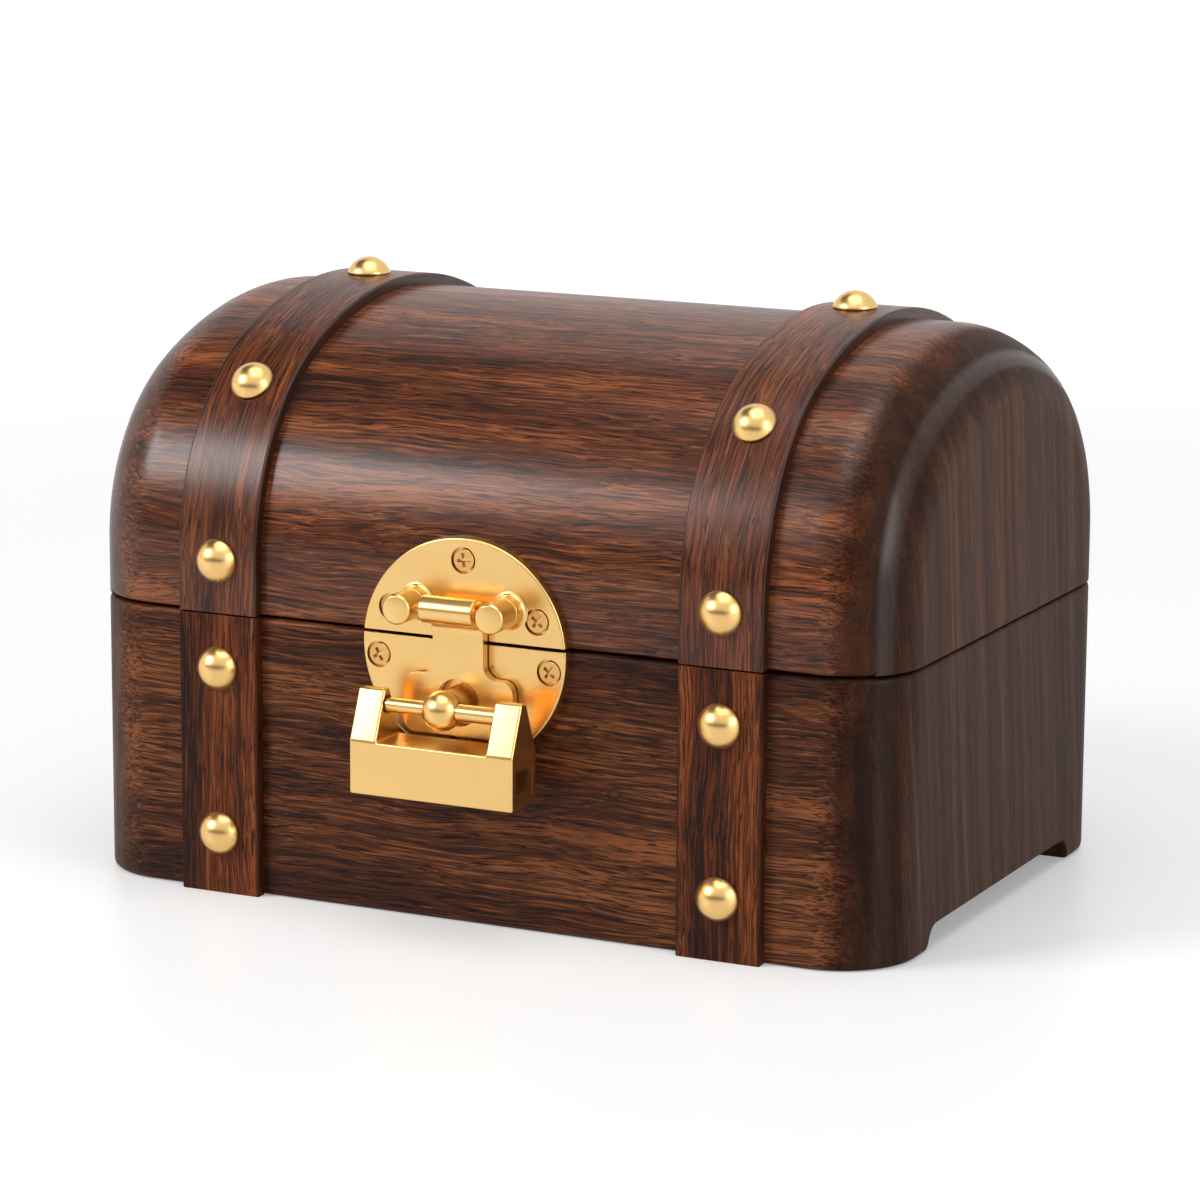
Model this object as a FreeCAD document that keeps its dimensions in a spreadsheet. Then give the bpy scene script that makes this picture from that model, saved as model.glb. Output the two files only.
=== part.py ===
import FreeCAD, Part
import math
import os
import Sketcher

# A small domed treasure chest in dark hardwood: four mitred boards on a raised bottom panel, an arched
# lid on two butt hinges, wooden straps with brass nails, and a two-part brass lock plate whose hasp
# drops over a ball-ended post and is held there by a padlock with a sliding bar.
# The model stands on the floor at height zero. The front looks along -Y, the width runs along X.
# Each sub-part is built about the middle of the wooden box and its Placement moves it along Y,
# so that the origin lies under the middle of the whole outline, lock and hinges included.

SIZES = (
    ("chest_width", 200.0, "wooden box, outside, along X"),
    ("chest_depth", 138.0, "wooden box, outside, along Y"),
    ("base_height", 64.6, "floor to the top edge of the lower box"),
    ("wall_thickness", 9.0, "boards and lid shell"),
    ("corner_radius", 18.5, "upright corners and the rounding of the lid's ends"),
    ("parting_ease", 0.8, "bevel of the edges at the parting line"),
    ("foot_ease", 1.5, "bevel of the edges at the floor"),
    ("overrun", 1.0, "how far a cutting shape runs past what it cuts"),
    ("same_place", 0.001, "two places nearer than this are taken as one"),
    ("panel_thickness", 4.0, "bottom panel"),
    ("panel_height", 9.0, "floor to the underside of the bottom panel"),
    ("groove_depth", 4.0, "how deep the bottom panel sits in the boards"),
    ("panel_corner", 8.0, "corners cut off the bottom panel"),
    ("arch_height", 5.6, "cut-out under each end board"),
    ("foot_length", 24.0, "foot left at each end of the cut-out"),
    ("arch_slope", 3.2, "how far the side of the cut-out leans"),
    ("arch_round", 2.4, "rounding in the top corners of the cut-out"),
    ("lid_gap", 0.3, "space between lid and box when shut"),
    ("lid_height", 66.1, "lid's underside to its crown"),
    ("lid_skirt", 12.2, "upright stretch at the lid's lower edge"),
    ("side_arc_share", 0.92, "radius of the lid's side arcs, of its height above the skirt"),
    ("strap_width", 20.0, "wooden strap"),
    ("strap_thickness", 2.6, "wooden strap"),
    ("strap_place_share", 0.31, "middle of the box to the middle of a strap, of the box's width"),
    ("strap_ease", 0.5, "bevel of a strap's long edges"),
    ("nail_radius", 5.2, "domed nail head"),
    ("nail_rise", 3.9, "height of a nail head"),
    ("nail_shank", 1.6, "square nail shank, across"),
    ("nail_length", 8.0, "nail shank below its head"),
    ("nail_below_parting", 12.3, "upper nail of the lower straps"),
    ("nail_above_floor", 14.0, "lower nail of the lower straps"),
    ("nail_above_parting", 12.0, "lowest nail of a lid strap"),
    ("shoulder_angle", 47.0, "degrees, how far up the side arc the shoulder nails of the lid stand"),
    ("hinge_length", 26.0, "butt hinge along X"),
    ("hinge_place_share", 0.15, "middle of the box to the middle of a hinge, of the box's width"),
    ("leaf_width", 7.5, "how far a hinge leaf reaches into the wood"),
    ("leaf_thickness", 1.2, "hinge leaf"),
    ("knuckle_radius", 3.0, "outside of the hinge knuckle"),
    ("knuckle_clearance", 0.5, "knuckle to the wood behind it"),
    ("knuckle_gap", 0.3, "end play between knuckles"),
    ("hinge_pin_radius", 1.25, "hinge pin"),
    ("pin_clearance", 0.05, "radial play of the hinge pins and the hasp pin"),
    ("hinge_screw_offset", 7.5, "middle of a hinge to each of its screws"),
    ("hinge_screw_radius", 1.9, "countersunk head of a hinge screw"),
    ("hinge_screw_shank", 0.9, "shank radius of a hinge screw"),
    ("hinge_screw_length", 9.0, "hinge screw"),
    ("plate_radius", 25.0, "round lock plate"),
    ("plate_thickness", 2.0, "round lock plate"),
    ("plate_drop", 2.0, "middle of the plate below the parting line"),
    ("plate_slit", 0.2, "how far each half of the plate stops short of its edge of wood"),
    ("plate_ease", 0.5, "bevelled rim of the plate"),
    ("screw_head_radius", 2.5, "plate screw"),
    ("screw_shank_radius", 1.2, "plate screw"),
    ("screw_length", 8.5, "plate screw"),
    ("top_screw_rise", 20.0, "top screw above the middle of the plate"),
    ("upper_screw_side", 18.0, "upper side screws from the middle"),
    ("upper_screw_rise", 8.0, "upper side screws above the middle"),
    ("lower_screw_side", 21.0, "lower side screws from the middle"),
    ("lower_screw_drop", 3.0, "lower side screws below the middle"),
    ("bottom_screw_drop", 20.0, "bottom screw below the middle"),
    ("lug_spacing", 11.4, "middle of the plate to each lug"),
    ("lug_rise", 7.8, "hasp pin above the parting line"),
    ("lug_radius", 3.4, "lug"),
    ("lug_reach", 10.4, "lug, from the plate to its front end"),
    ("lug_flange_radius", 4.5, "lug's foot on the plate"),
    ("lug_flange", 1.4, "lug's foot on the plate"),
    ("lug_bevel", 0.35, "bevel of the lug's front end"),
    ("hasp_pin_radius", 1.1, "hasp pin"),
    ("hasp_pin_standoff", 6.0, "hasp pin in front of the plate"),
    ("barrel_radius", 3.1, "rolled barrel of the hasp"),
    ("barrel_length", 13.0, "rolled barrel of the hasp"),
    ("hasp_thickness", 2.2, "hasp"),
    ("hasp_gap", 0.4, "hasp in front of the lower plate"),
    ("hasp_neck", 12.4, "width of the hasp below its barrel"),
    ("hasp_width", 27.0, "width of the hasp over the post"),
    ("hasp_flare_rise", 9.2, "post axis up to where the neck starts to flare"),
    ("hasp_flare_fall", 2.9, "post axis up to where the hasp has its full width"),
    ("hasp_below_post", 7.3, "post axis down to the hasp's lower edge"),
    ("hasp_corner", 3.0, "lower corners of the hasp"),
    ("hasp_hole_gap", 0.85, "space round the ball in the hasp's hole"),
    ("hasp_hole_lift", 0.25, "middle of the hasp's hole above the post axis"),
    ("crank_top", 1.6, "hasp pin down to the upper end of the crank"),
    ("crank_bottom", 4.9, "hasp pin down to the lower end of the crank"),
    ("post_drop", 13.6, "post axis below the parting line"),
    ("post_radius", 4.0, "post"),
    ("ball_radius", 4.5, "ball end of the post"),
    ("ball_standoff", 9.9, "middle of the ball in front of the plate"),
    ("post_tenon_radius", 2.4, "post's shank in plate and board"),
    ("post_tenon_length", 8.0, "post's shank in plate and board"),
    ("case_width", 40.0, "padlock along X"),
    ("case_depth", 11.5, "padlock along Y"),
    ("case_face", 12.0, "upright faces of the padlock"),
    ("case_height", 23.0, "padlock, bottom to ridge"),
    ("ridge_width", 2.4, "flat ridge of a shoulder"),
    ("shoulder_width", 6.5, "each end of the padlock"),
    ("case_ease", 0.35, "bevelled edges of the padlock"),
    ("bar_below_ridge", 3.5, "middle of the bar below the ridge"),
    ("bar_radius", 1.9, "thick end of the sliding bar"),
    ("bar_neck_radius", 1.45, "thin end of the sliding bar"),
    ("bar_clearance", 0.1, "radial play of the bar in the padlock and the post"),
    ("bar_seat", 3.6, "how deep the bar's tip sits in the right shoulder"),
    ("bar_ring_radius", 2.25, "counterbore round the bar in the left shoulder"),
    ("bar_ring_depth", 0.7, "counterbore round the bar in the left shoulder"),
    ("key_width", 5.5, "keyway along Y"),
    ("key_height", 4.8, "keyway along Z"),
    ("key_rise", 6.1, "padlock's bottom up to the middle of the keyway"),
    ("key_forward", 0.9, "keyway in front of the padlock's middle"),
    ("key_length", 18.0, "keyway from the right end inwards"),
    ("throat_size", 4.0, "square passage of the bolt"),
    ("bolt_size", 2.4, "square bolt inside the padlock"),
    ("bolt_tip", 9.0, "bolt's tip from the padlock's right end"),
    ("arm_thickness", 1.6, "arm that joins bar and bolt"),
    ("arm_width", 3.4, "arm that joins bar and bolt"),
    ("arm_play", 0.15, "space round the arm in its recess"),
    ("guide_width", 0.9, "upright guide slot in the right end"),
    ("guide_length", 8.0, "upright guide slot in the right end"),
    ("guide_depth", 1.0, "upright guide slot in the right end"),
    ("guide_back", 1.7, "guide slot's middle from the padlock's back"),
    ("leaf_spring", 0.35, "spring leaf's thickness"),
    ("leaf_spread", 0.35, "how far a spring leaf stands off at its free end"),
    ("leaf_spring_length", 6.0, "spring leaf"),
)

document = FreeCAD.newDocument("TreasureChest")


# A length that keeps its number and its formula in the sheet
class Size:
    def __init__(self, value, formula):
        self.value = float(value)
        self.formula = formula

    def __float__(self):
        return self.value

    def __neg__(self):
        return Size(-self.value, "(-" + self.formula + ")")

    def __add__(self, other):
        other = as_size(other)
        return Size(self.value + other.value, "(" + self.formula + " + " + other.formula + ")")

    def __sub__(self, other):
        other = as_size(other)
        return Size(self.value - other.value, "(" + self.formula + " - " + other.formula + ")")

    def __mul__(self, other):
        other = as_size(other)
        return Size(self.value * other.value, "(" + self.formula + " * " + other.formula + ")")

    def __truediv__(self, other):
        other = as_size(other)
        return Size(self.value / other.value, "(" + self.formula + " / " + other.formula + ")")


def as_size(item):
    return item if isinstance(item, Size) else Size(item, str(item))


def root_of(item):
    return Size(math.sqrt(item.value), "sqrt(" + item.formula + ")")


def larger_of(one, other):
    return Size(max(one.value, other.value), "max(" + one.formula + "; " + other.formula + ")")


# The sheet of driving dimensions
def fill_sheet():
    sheet = document.addObject("Spreadsheet::Sheet", "Sizes")
    for row, (alias, number, meaning) in enumerate(SIZES, start=1):
        sheet.set("A" + str(row), alias)
        sheet.set("B" + str(row), str(number))
        sheet.set("C" + str(row), meaning)
        sheet.setAlias("B" + str(row), alias)
    document.recompute()
    return sheet


class Sheet:
    def __init__(self, sheet):
        self.sheet = sheet

    def __getattr__(self, alias):
        return Size(getattr(self.sheet, alias), "Sizes." + alias)


size = Sheet(fill_sheet())

# Places that several pieces share
half_width = size.chest_width / 2
half_depth = size.chest_depth / 2
strap_centre = size.chest_width * size.strap_place_share
hinge_centre = size.chest_width * size.hinge_place_share
lid_bottom = size.base_height + size.lid_gap
plate_front = -half_depth - size.plate_thickness
plate_middle = size.base_height - size.plate_drop
pin_height = size.base_height + size.lug_rise
pin_forward = plate_front - size.hasp_pin_standoff
post_height = size.base_height - size.post_drop
ball_forward = plate_front - size.ball_standoff
case_bottom = post_height + size.bar_below_ridge - size.case_height
key_middle = case_bottom + size.key_rise
hinge_back = half_depth + size.knuckle_clearance + size.knuckle_radius
hinge_height = size.base_height + size.lid_gap / 2
front_reach = size.ball_standoff + size.case_depth / 2 + size.plate_thickness
nail_reach = size.strap_thickness + size.nail_rise
knuckle_reach = size.knuckle_clearance + size.knuckle_radius * 2
back_reach = larger_of(nail_reach, knuckle_reach)
body_shift = (front_reach - back_reach) / 2


# Placing a sub-part: each is modelled about the middle of the box, then moved along Y
def place(item, along_x=0, along_y=0, along_z=0):
    shift = (as_size(along_x), body_shift + along_y, as_size(along_z))
    item.Placement.Base = FreeCAD.Vector(*(float(part) for part in shift))
    for axis, part in zip("xyz", shift):
        item.setExpression("Placement.Base." + axis, part.formula)


def add_body(label, along_x=0, along_y=0, along_z=0):
    body = document.addObject("PartDesign::Body", label + "_body")
    body.Label = label + " body"
    place(body, along_x, along_y, along_z)
    return body


def origin_feature(body, role):
    return next(item for item in body.Origin.OriginFeatures if item.Role == role)


# Sketches: each corner is tied to the sheet by its two coordinates, each arc by its radius
def tie(sketch, kind, number, corner, value):
    if not isinstance(value, Size):
        axis = -2 if kind == "DistanceX" else -1
        sketch.addConstraint(Sketcher.Constraint("PointOnObject", number, corner, axis))
        return
    index = sketch.addConstraint(Sketcher.Constraint(kind, -1, 1, number, corner, value.value))
    sketch.setExpression("Constraints[" + str(index) + "]", value.formula)


def arc_geometry(start, end, radius, turns_left):
    chord = end - start
    middle = (start + end) * 0.5
    side = FreeCAD.Vector(-chord.y, chord.x, 0)
    side.normalize()
    rise = math.sqrt(max(radius ** 2 - (chord.Length / 2) ** 2, 0))
    centre = middle + side * (rise if turns_left else -rise)
    first, last = (start, end) if turns_left else (end, start)
    angles = [math.atan2(point.y - centre.y, point.x - centre.x) for point in (first, last)]
    circle = Part.Circle(centre, FreeCAD.Vector(0, 0, 1), radius)
    return Part.ArcOfCircle(circle, angles[0], angles[1])


# A loop is a list of corners (x, y), or (x, y, radius, side) where an arc leads to the next corner:
# side is "left" where the arc turns left on its way, and otherwise "right"
def add_loop(sketch, corners):
    first = len(sketch.Geometry)
    points = [FreeCAD.Vector(float(corner[0]), float(corner[1]), 0) for corner in corners]
    starts, ends = [], []
    for index, corner in enumerate(corners):
        start, end = points[index], points[(index + 1) % len(points)]
        turns_right = len(corner) > 2 and corner[3] == "right"
        if len(corner) > 2:
            sketch.addGeometry(arc_geometry(start, end, float(corner[2]), not turns_right))
        else:
            sketch.addGeometry(Part.LineSegment(start, end))
        starts.append(2 if turns_right else 1)
        ends.append(1 if turns_right else 2)
    for index, corner in enumerate(corners):
        following = (index + 1) % len(corners)
        joint = (first + index, ends[index], first + following, starts[following])
        sketch.addConstraint(Sketcher.Constraint("Coincident", *joint))
        tie(sketch, "DistanceX", first + index, starts[index], corner[0])
        tie(sketch, "DistanceY", first + index, starts[index], corner[1])
        if len(corner) > 2:
            radius = as_size(corner[2])
            number = sketch.addConstraint(Sketcher.Constraint("Radius", first + index, radius.value))
            sketch.setExpression("Constraints[" + str(number) + "]", radius.formula)


def add_circle(sketch, across, up, radius):
    centre = FreeCAD.Vector(float(across), float(up), 0)
    number = sketch.addGeometry(Part.Circle(centre, FreeCAD.Vector(0, 0, 1), float(radius)))
    tie(sketch, "DistanceX", number, 3, across)
    tie(sketch, "DistanceY", number, 3, up)
    index = sketch.addConstraint(Sketcher.Constraint("Radius", number, float(radius)))
    sketch.setExpression("Constraints[" + str(index) + "]", radius.formula)


def add_sketch(body, role, name, lift=0):
    sketch = body.newObject("Sketcher::SketchObject", name)
    sketch.AttachmentSupport = [(origin_feature(body, role), "")]
    sketch.MapMode = "FlatFace"
    sketch.setExpression("AttachmentOffset.Base.z", as_size(lift).formula)
    return sketch


def rectangle(left, right, low, high):
    return [(left, low), (right, low), (right, high), (left, high)]


# Features of a body
def pad(body, sketch, length, side="One side"):
    feature = body.newObject("PartDesign::Pad", "Pad")
    feature.Profile = sketch
    feature.SideType = side
    feature.setExpression("Length", as_size(length).formula)
    sketch.Visibility = False
    document.recompute()
    return feature


def pocket(body, sketch, length=None, reverse=False):
    before = body.Tip.Shape.Volume
    feature = body.newObject("PartDesign::Pocket", "Pocket")
    feature.Profile = sketch
    if length is None:
        feature.Type = "ThroughAll"
        feature.SideType = "Symmetric"
    else:
        feature.Reversed = reverse
        feature.setExpression("Length", length.formula)
    document.recompute()
    if not feature.Shape.Volume < before:
        raise RuntimeError(body.Label + ": " + feature.Name + " cuts nothing")
    return feature


def edge_names(feature, wanted):
    return ["Edge" + str(number) for number, edge in enumerate(feature.Shape.Edges, start=1) if wanted(edge)]


def round_edges(body, radius, wanted):
    base = body.Tip
    feature = body.newObject("PartDesign::Fillet", "Fillet")
    feature.Base = (base, edge_names(base, wanted))
    feature.setExpression("Radius", radius.formula)
    document.recompute()
    return feature


def bevel_edges(body, width, wanted):
    base = body.Tip
    feature = body.newObject("PartDesign::Chamfer", "Chamfer")
    feature.Base = (base, edge_names(base, wanted))
    feature.setExpression("Size", width.formula)
    document.recompute()
    return feature


# A finished sub-part: a body, or a body with other pieces let into it
sub_parts = []


def finish(label, item):
    item.Label = label
    sub_parts.append(item)
    return item


def carve(label, base, tools):
    tool = tools[0]
    if len(tools) > 1:
        tool = document.addObject("Part::Compound", label + "_cutters")
        tool.Links = tools
    result = document.addObject("Part::Cut", label)
    result.Base = base
    result.Tool = tool
    document.recompute()
    if not result.Shape.Volume < base.Shape.Volume:
        raise RuntimeError(label + ": its cutters cut nothing")
    return finish(label, result)


def add_shape(label, shape):
    item = document.addObject("Part::Feature", label)
    item.Shape = shape
    place(item)
    return item


def near(one, other):
    return abs(float(one) - float(other)) < float(size.same_place)


# Boards of the lower box, mitred through the middle of each rounded corner
def corner_cut():
    return size.corner_radius * (1 - math.sqrt(0.5))


def board_corners(half_length, half_across):
    tangent = half_length - size.corner_radius
    cut = corner_cut()
    inner = half_length - size.wall_thickness
    face = -half_across
    return [
        (-tangent, face),
        (tangent, face, size.corner_radius, "left"),
        (half_length - cut, face + cut),
        (inner, face + size.wall_thickness),
        (-inner, face + size.wall_thickness),
        (-half_length + cut, face + cut, size.corner_radius, "left"),
    ]


def turned(corners, quarter_turns):
    for _ in range(quarter_turns):
        corners = [(-corner[1], corner[0], *corner[2:]) for corner in corners]
    return corners


def is_outer_edge(edge, height):
    if not (near(edge.BoundBox.ZMin, height) and near(edge.BoundBox.ZMax, height)):
        return False
    inner_x = float(half_width - size.wall_thickness + size.same_place)
    inner_y = float(half_depth - size.wall_thickness + size.same_place)
    points = [vertex.Point for vertex in edge.Vertexes]
    return not any(abs(point.x) < inner_x and abs(point.y) < inner_y for point in points)


def board(name, quarter_turns):
    across = quarter_turns % 2 == 1
    lengths = (half_depth, half_width) if across else (half_width, half_depth)
    body = add_body(name)
    sketch = add_sketch(body, "XY_Plane", "Outline")
    add_loop(sketch, turned(board_corners(*lengths), quarter_turns))
    pad(body, sketch, size.base_height)
    bevel_edges(body, size.foot_ease, lambda edge: is_outer_edge(edge, 0))
    bevel_edges(body, size.parting_ease, lambda edge: is_outer_edge(edge, size.base_height))
    return body


def cut_arch(body):
    foot = half_depth - size.foot_length
    top = foot - size.arch_slope
    low = -size.overrun
    sketch = add_sketch(body, "YZ_Plane", "Arch")
    add_loop(sketch, [(-foot, low), (foot, low), (foot, 0), (top, size.arch_height),
                      (-top, size.arch_height), (-foot, 0)])
    pocket(body, sketch)

    def is_arch_corner(edge):
        middle = edge.BoundBox.Center
        level = near(edge.BoundBox.ZMin, size.arch_height) and near(edge.BoundBox.ZMax, size.arch_height)
        return level and near(abs(middle.y), top)

    round_edges(body, size.arch_round, is_arch_corner)


def bottom_panel():
    body = add_body("bottom_panel", along_z=size.panel_height)
    reach = size.groove_depth - size.wall_thickness
    sketch = add_sketch(body, "XY_Plane", "Panel")
    add_loop(sketch, rectangle(-half_width - reach, half_width + reach,
                               -half_depth - reach, half_depth + reach))
    pad(body, sketch, size.panel_thickness)
    bevel_edges(body, size.panel_corner, lambda edge: near(edge.BoundBox.ZLength, size.panel_thickness)
                and near(edge.BoundBox.XLength, 0))
    return finish("bottom_panel", body)


# Straps of the lower box: flat battens from the parting line to the floor
def base_strap(label, side, face):
    body = add_body(label, along_x=strap_centre * side, along_y=half_depth * face)
    outer = size.strap_thickness * face
    sketch = add_sketch(body, "XY_Plane", "Section")
    half = size.strap_width / 2
    near_face, far_face = (outer, 0) if face < 0 else (0, outer)
    add_loop(sketch, rectangle(-half, half, near_face, far_face))
    pad(body, sketch, size.base_height)
    bevel_edges(body, size.strap_ease, lambda edge: near(edge.BoundBox.YMin, outer)
                and near(edge.BoundBox.YMax, outer) and edge.BoundBox.ZLength > float(half))
    return body


# A small turned form with narrow flats round it, given by its rings of (radius, height) from the
# lowest up. A ring of no radius is a point. Nails and screws have fewer flats than the lock's parts
SMALL_FLAT_COUNT = 12
LOCK_FLAT_COUNT = 24


def ring_points(radius, height, flats):
    angles = [math.pi * 2 * step / flats for step in range(flats)]
    return [FreeCAD.Vector(radius * math.cos(angle), radius * math.sin(angle), height) for angle in angles]


def flat_face(points):
    return Part.Face(Part.makePolygon([*points, points[0]]))


def band_faces(low, high):
    faces = []
    for index in range(len(low)):
        after = (index + 1) % len(low)
        corners = [low[index], low[after], high[after], high[index]]
        if low[index] == low[after]:
            corners.pop(0)
        if high[index] == high[after]:
            corners.pop()
        faces.append(flat_face(corners))
    return faces


def faceted(rings, flats=SMALL_FLAT_COUNT):
    loops = [ring_points(radius, height, flats) for radius, height in rings]
    faces = [face for low, high in zip(loops, loops[1:]) for face in band_faces(low, high)]
    faces.extend(flat_face(loop) for loop in (loops[0], loops[-1]) if loop[0] != loop[1])
    solid = Part.makeSolid(Part.makeShell(faces))
    if solid.Volume < 0:
        solid.reverse()
    return solid


# Nails: a domed head on a square shank; the head's underside is at height zero
DOME_BAND_COUNT = 3


def nail_shank():
    across, length = float(size.nail_shank), float(size.nail_length)
    return Part.makeBox(across, across, length, FreeCAD.Vector(-across / 2, -across / 2, -length))


def nail_shape():
    radius, rise = float(size.nail_radius), float(size.nail_rise)
    sphere = (radius ** 2 + rise ** 2) / (2 * rise)
    rim = math.acos(radius / sphere)
    angles = [rim + (math.pi / 2 - rim) * step / DOME_BAND_COUNT for step in range(DOME_BAND_COUNT)]
    dome = [(sphere * math.cos(angle), rise - sphere + sphere * math.sin(angle)) for angle in angles]
    return faceted([*dome, (0, rise)]).fuse(nail_shank())


# A copy of a shape whose +Z is turned in the YZ plane: lean is measured from -Y, upwards
def leaned(shape, lean_degrees, across, along, up):
    turn_up = FreeCAD.Rotation(FreeCAD.Vector(1, 0, 0), 90 - lean_degrees)
    spot = FreeCAD.Vector(float(across), float(along), float(up))
    return shape.transformed(FreeCAD.Placement(spot, turn_up).Matrix, True)


# Nails as one group, with a group of shanks that cut the holes for them
def nail_groups(label, places):
    nail, shank = nail_shape(), nail_shank()
    nails = [leaned(nail, *spot) for spot in places]
    shanks = [leaned(shank, *spot) for spot in places]
    holes = add_shape(label + "_holes", Part.makeCompound(shanks))
    finish(label, add_shape(label, Part.makeCompound(nails)))
    return holes


def base_nails():
    surface = half_depth + size.strap_thickness
    places = []
    for side in (-1, 1):
        for up in (size.base_height - size.nail_below_parting, size.nail_above_floor):
            places.append((0, strap_centre * side, -surface, up))
            places.append((180, strap_centre * side, surface, up))
    return nail_groups("base_nails", places)


# The lid's arch: upright skirts, side arcs and a flatter crown arc, all tangent
class Arch:
    def __init__(self):
        self.side = float((size.lid_height - size.lid_skirt) * size.side_arc_share)
        self.out = float(half_depth) - self.side
        self.foot = float(lid_bottom)
        self.spring = float(lid_bottom + size.lid_skirt)
        tall = float(size.lid_height - size.lid_skirt)
        self.crown = (self.out ** 2 + tall ** 2 - self.side ** 2) / (2 * (tall - self.side))
        self.crown_centre = self.spring + tall - self.crown
        self.turn = math.atan2(self.spring - self.crown_centre, self.out)

    # A point on the arch grown outwards by a length, at an angle above the front
    def point(self, angle, growth, x):
        radius, out, up = self.side + growth, self.out, self.spring
        if math.sin(angle) > math.sin(self.turn):
            radius, out, up = self.crown + growth, 0, self.crown_centre
        direction = -1 if math.cos(angle) >= 0 else 1
        across = out * direction - radius * math.cos(angle)
        return FreeCAD.Vector(x, across, up + radius * math.sin(angle))

    def edges(self, growth, x):
        half = float(half_depth) + growth
        foot = [FreeCAD.Vector(x, -half, self.foot), FreeCAD.Vector(x, half, self.foot)]
        stops = [(0, self.turn), (self.turn, math.pi - self.turn), (math.pi - self.turn, math.pi)]
        arcs = []
        for first, last in stops:
            points = [self.junction(first, growth, x), self.point((first + last) / 2, growth, x),
                      self.junction(last, growth, x)]
            arcs.append(Part.Arc(*points).toShape())
        skirt_front = Part.LineSegment(foot[0], self.junction(0, growth, x)).toShape()
        skirt_back = Part.LineSegment(self.junction(math.pi, growth, x), foot[1]).toShape()
        return [skirt_front, *arcs, skirt_back]

    def junction(self, angle, growth, x):
        radius = self.side + growth
        direction = -1 if math.cos(angle) >= 0 else 1
        across = self.out * direction - radius * math.cos(angle)
        return FreeCAD.Vector(x, across, self.spring + radius * math.sin(angle))

    def wire(self, growth, x):
        edges = self.edges(growth, x)
        half = float(half_depth) + growth
        base = Part.LineSegment(FreeCAD.Vector(x, half, self.foot), FreeCAD.Vector(x, -half, self.foot))
        return Part.Wire([*edges, base.toShape()])

    def solid(self, growth, start, end):
        return Part.Face(self.wire(growth, start)).extrude(FreeCAD.Vector(end - start, 0, 0))


# The whole lid as one block, before it is hollowed and split into its three boards.
# Its ends are rounded over in an even number of narrow flats, so that the mitre falls on an edge
ROUNDING_FLAT_COUNT = 6


def rounding_stops(radius):
    angles = [math.pi / 2 * step / ROUNDING_FLAT_COUNT for step in range(ROUNDING_FLAT_COUNT + 1)]
    return [(radius * math.sin(angle), radius * math.cos(angle)) for angle in angles]


def lid_block(arch):
    radius, straight = float(size.corner_radius), float(half_width - size.corner_radius)
    right = [arch.wire(out - radius, straight + along) for out, along in rounding_stops(radius)]
    left = [arch.wire(out - radius, -straight - along) for out, along in rounding_stops(radius)]
    return Part.makeLoft([*right, *reversed(left)], True, True)


# The lid's outline in plan, drawn in by a length
def lid_plan(inset, height):
    radius = float(size.corner_radius)
    straight, deep = float(half_width) - radius, float(half_depth) - radius
    quarter = [(straight + along, deep + out) for out, along in rounding_stops(radius - inset)]
    corners = [*quarter, *((-x, y) for x, y in reversed(quarter))]
    corners = [*corners, *((-x, -y) for x, y in corners)]
    points = [FreeCAD.Vector(x, y, height) for x, y in corners]
    return Part.makePolygon([*points, points[0]])


def eased_block(block, arch):
    ease, beyond = float(size.parting_ease), float(size.overrun)
    eased = Part.makeLoft([lid_plan(ease, arch.foot), lid_plan(0, arch.foot + ease)], True, True)
    wide, deep = float(half_width) + beyond, float(half_depth) + beyond
    slab = Part.makeBox(wide * 2, deep * 2, ease, FreeCAD.Vector(-wide, -deep, arch.foot))
    return block.cut(slab.cut(eased))


def lid_end_plug(arch, side):
    wall, reach = float(size.wall_thickness), float(half_width)
    outer = arch.wire(0, side * reach)
    inner = arch.wire(-wall, side * (reach - wall))
    return Part.makeLoft([outer, inner], True, True)


def lid_boards(arch, block):
    wall, reach = float(size.wall_thickness), float(half_width)
    eased = eased_block(block, arch)
    plugs = [lid_end_plug(arch, side) for side in (-1, 1)]
    hollow = arch.solid(-wall, wall - reach, reach - wall)
    dome = eased.cut([hollow, *plugs]).removeSplitter()
    ends = [eased.common(plug) for plug in plugs]
    return dome, ends


# Straps of the lid: battens bent over the boards
def lid_strap(arch, side):
    half, middle = float(size.strap_width) / 2, float(strap_centre) * side
    thick, beyond = float(size.strap_thickness), float(size.overrun)
    outer = arch.solid(thick, middle - half, middle + half)
    return outer.cut(arch.solid(0, middle - half - beyond, middle + half + beyond))


# Lid nails stand square to the arch: low on each side, on the shoulders and on the crown
def lid_nails(arch):
    thick = float(size.strap_thickness)
    low = lid_bottom + size.nail_above_parting
    shoulder = math.radians(float(size.shoulder_angle))
    places = [(0, -half_depth - size.strap_thickness, low), (180, half_depth + size.strap_thickness, low)]
    for angle in (shoulder, math.pi / 2, math.pi - shoulder):
        point = arch.point(angle, thick, 0)
        places.append((math.degrees(angle), point.y, point.z))
    return nail_groups("lid_nails", [(lean, strap_centre * side, along, up)
                                     for side in (-1, 1) for lean, along, up in places])


# Countersunk wood screws, tapered to a point; the head's face is at height zero and looks along +Z
def screw_shape(head, shank, length):
    return faceted([(0, -length), (shank, shank - head), (head, 0)])


def plate_screws(label, places):
    screw = screw_shape(float(size.screw_head_radius), float(size.screw_shank_radius),
                        float(size.screw_length))
    screws = [leaned(screw, 0, across, plate_front, up) for across, up in places]
    return finish(label, add_shape(label, Part.makeCompound(screws)))


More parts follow.
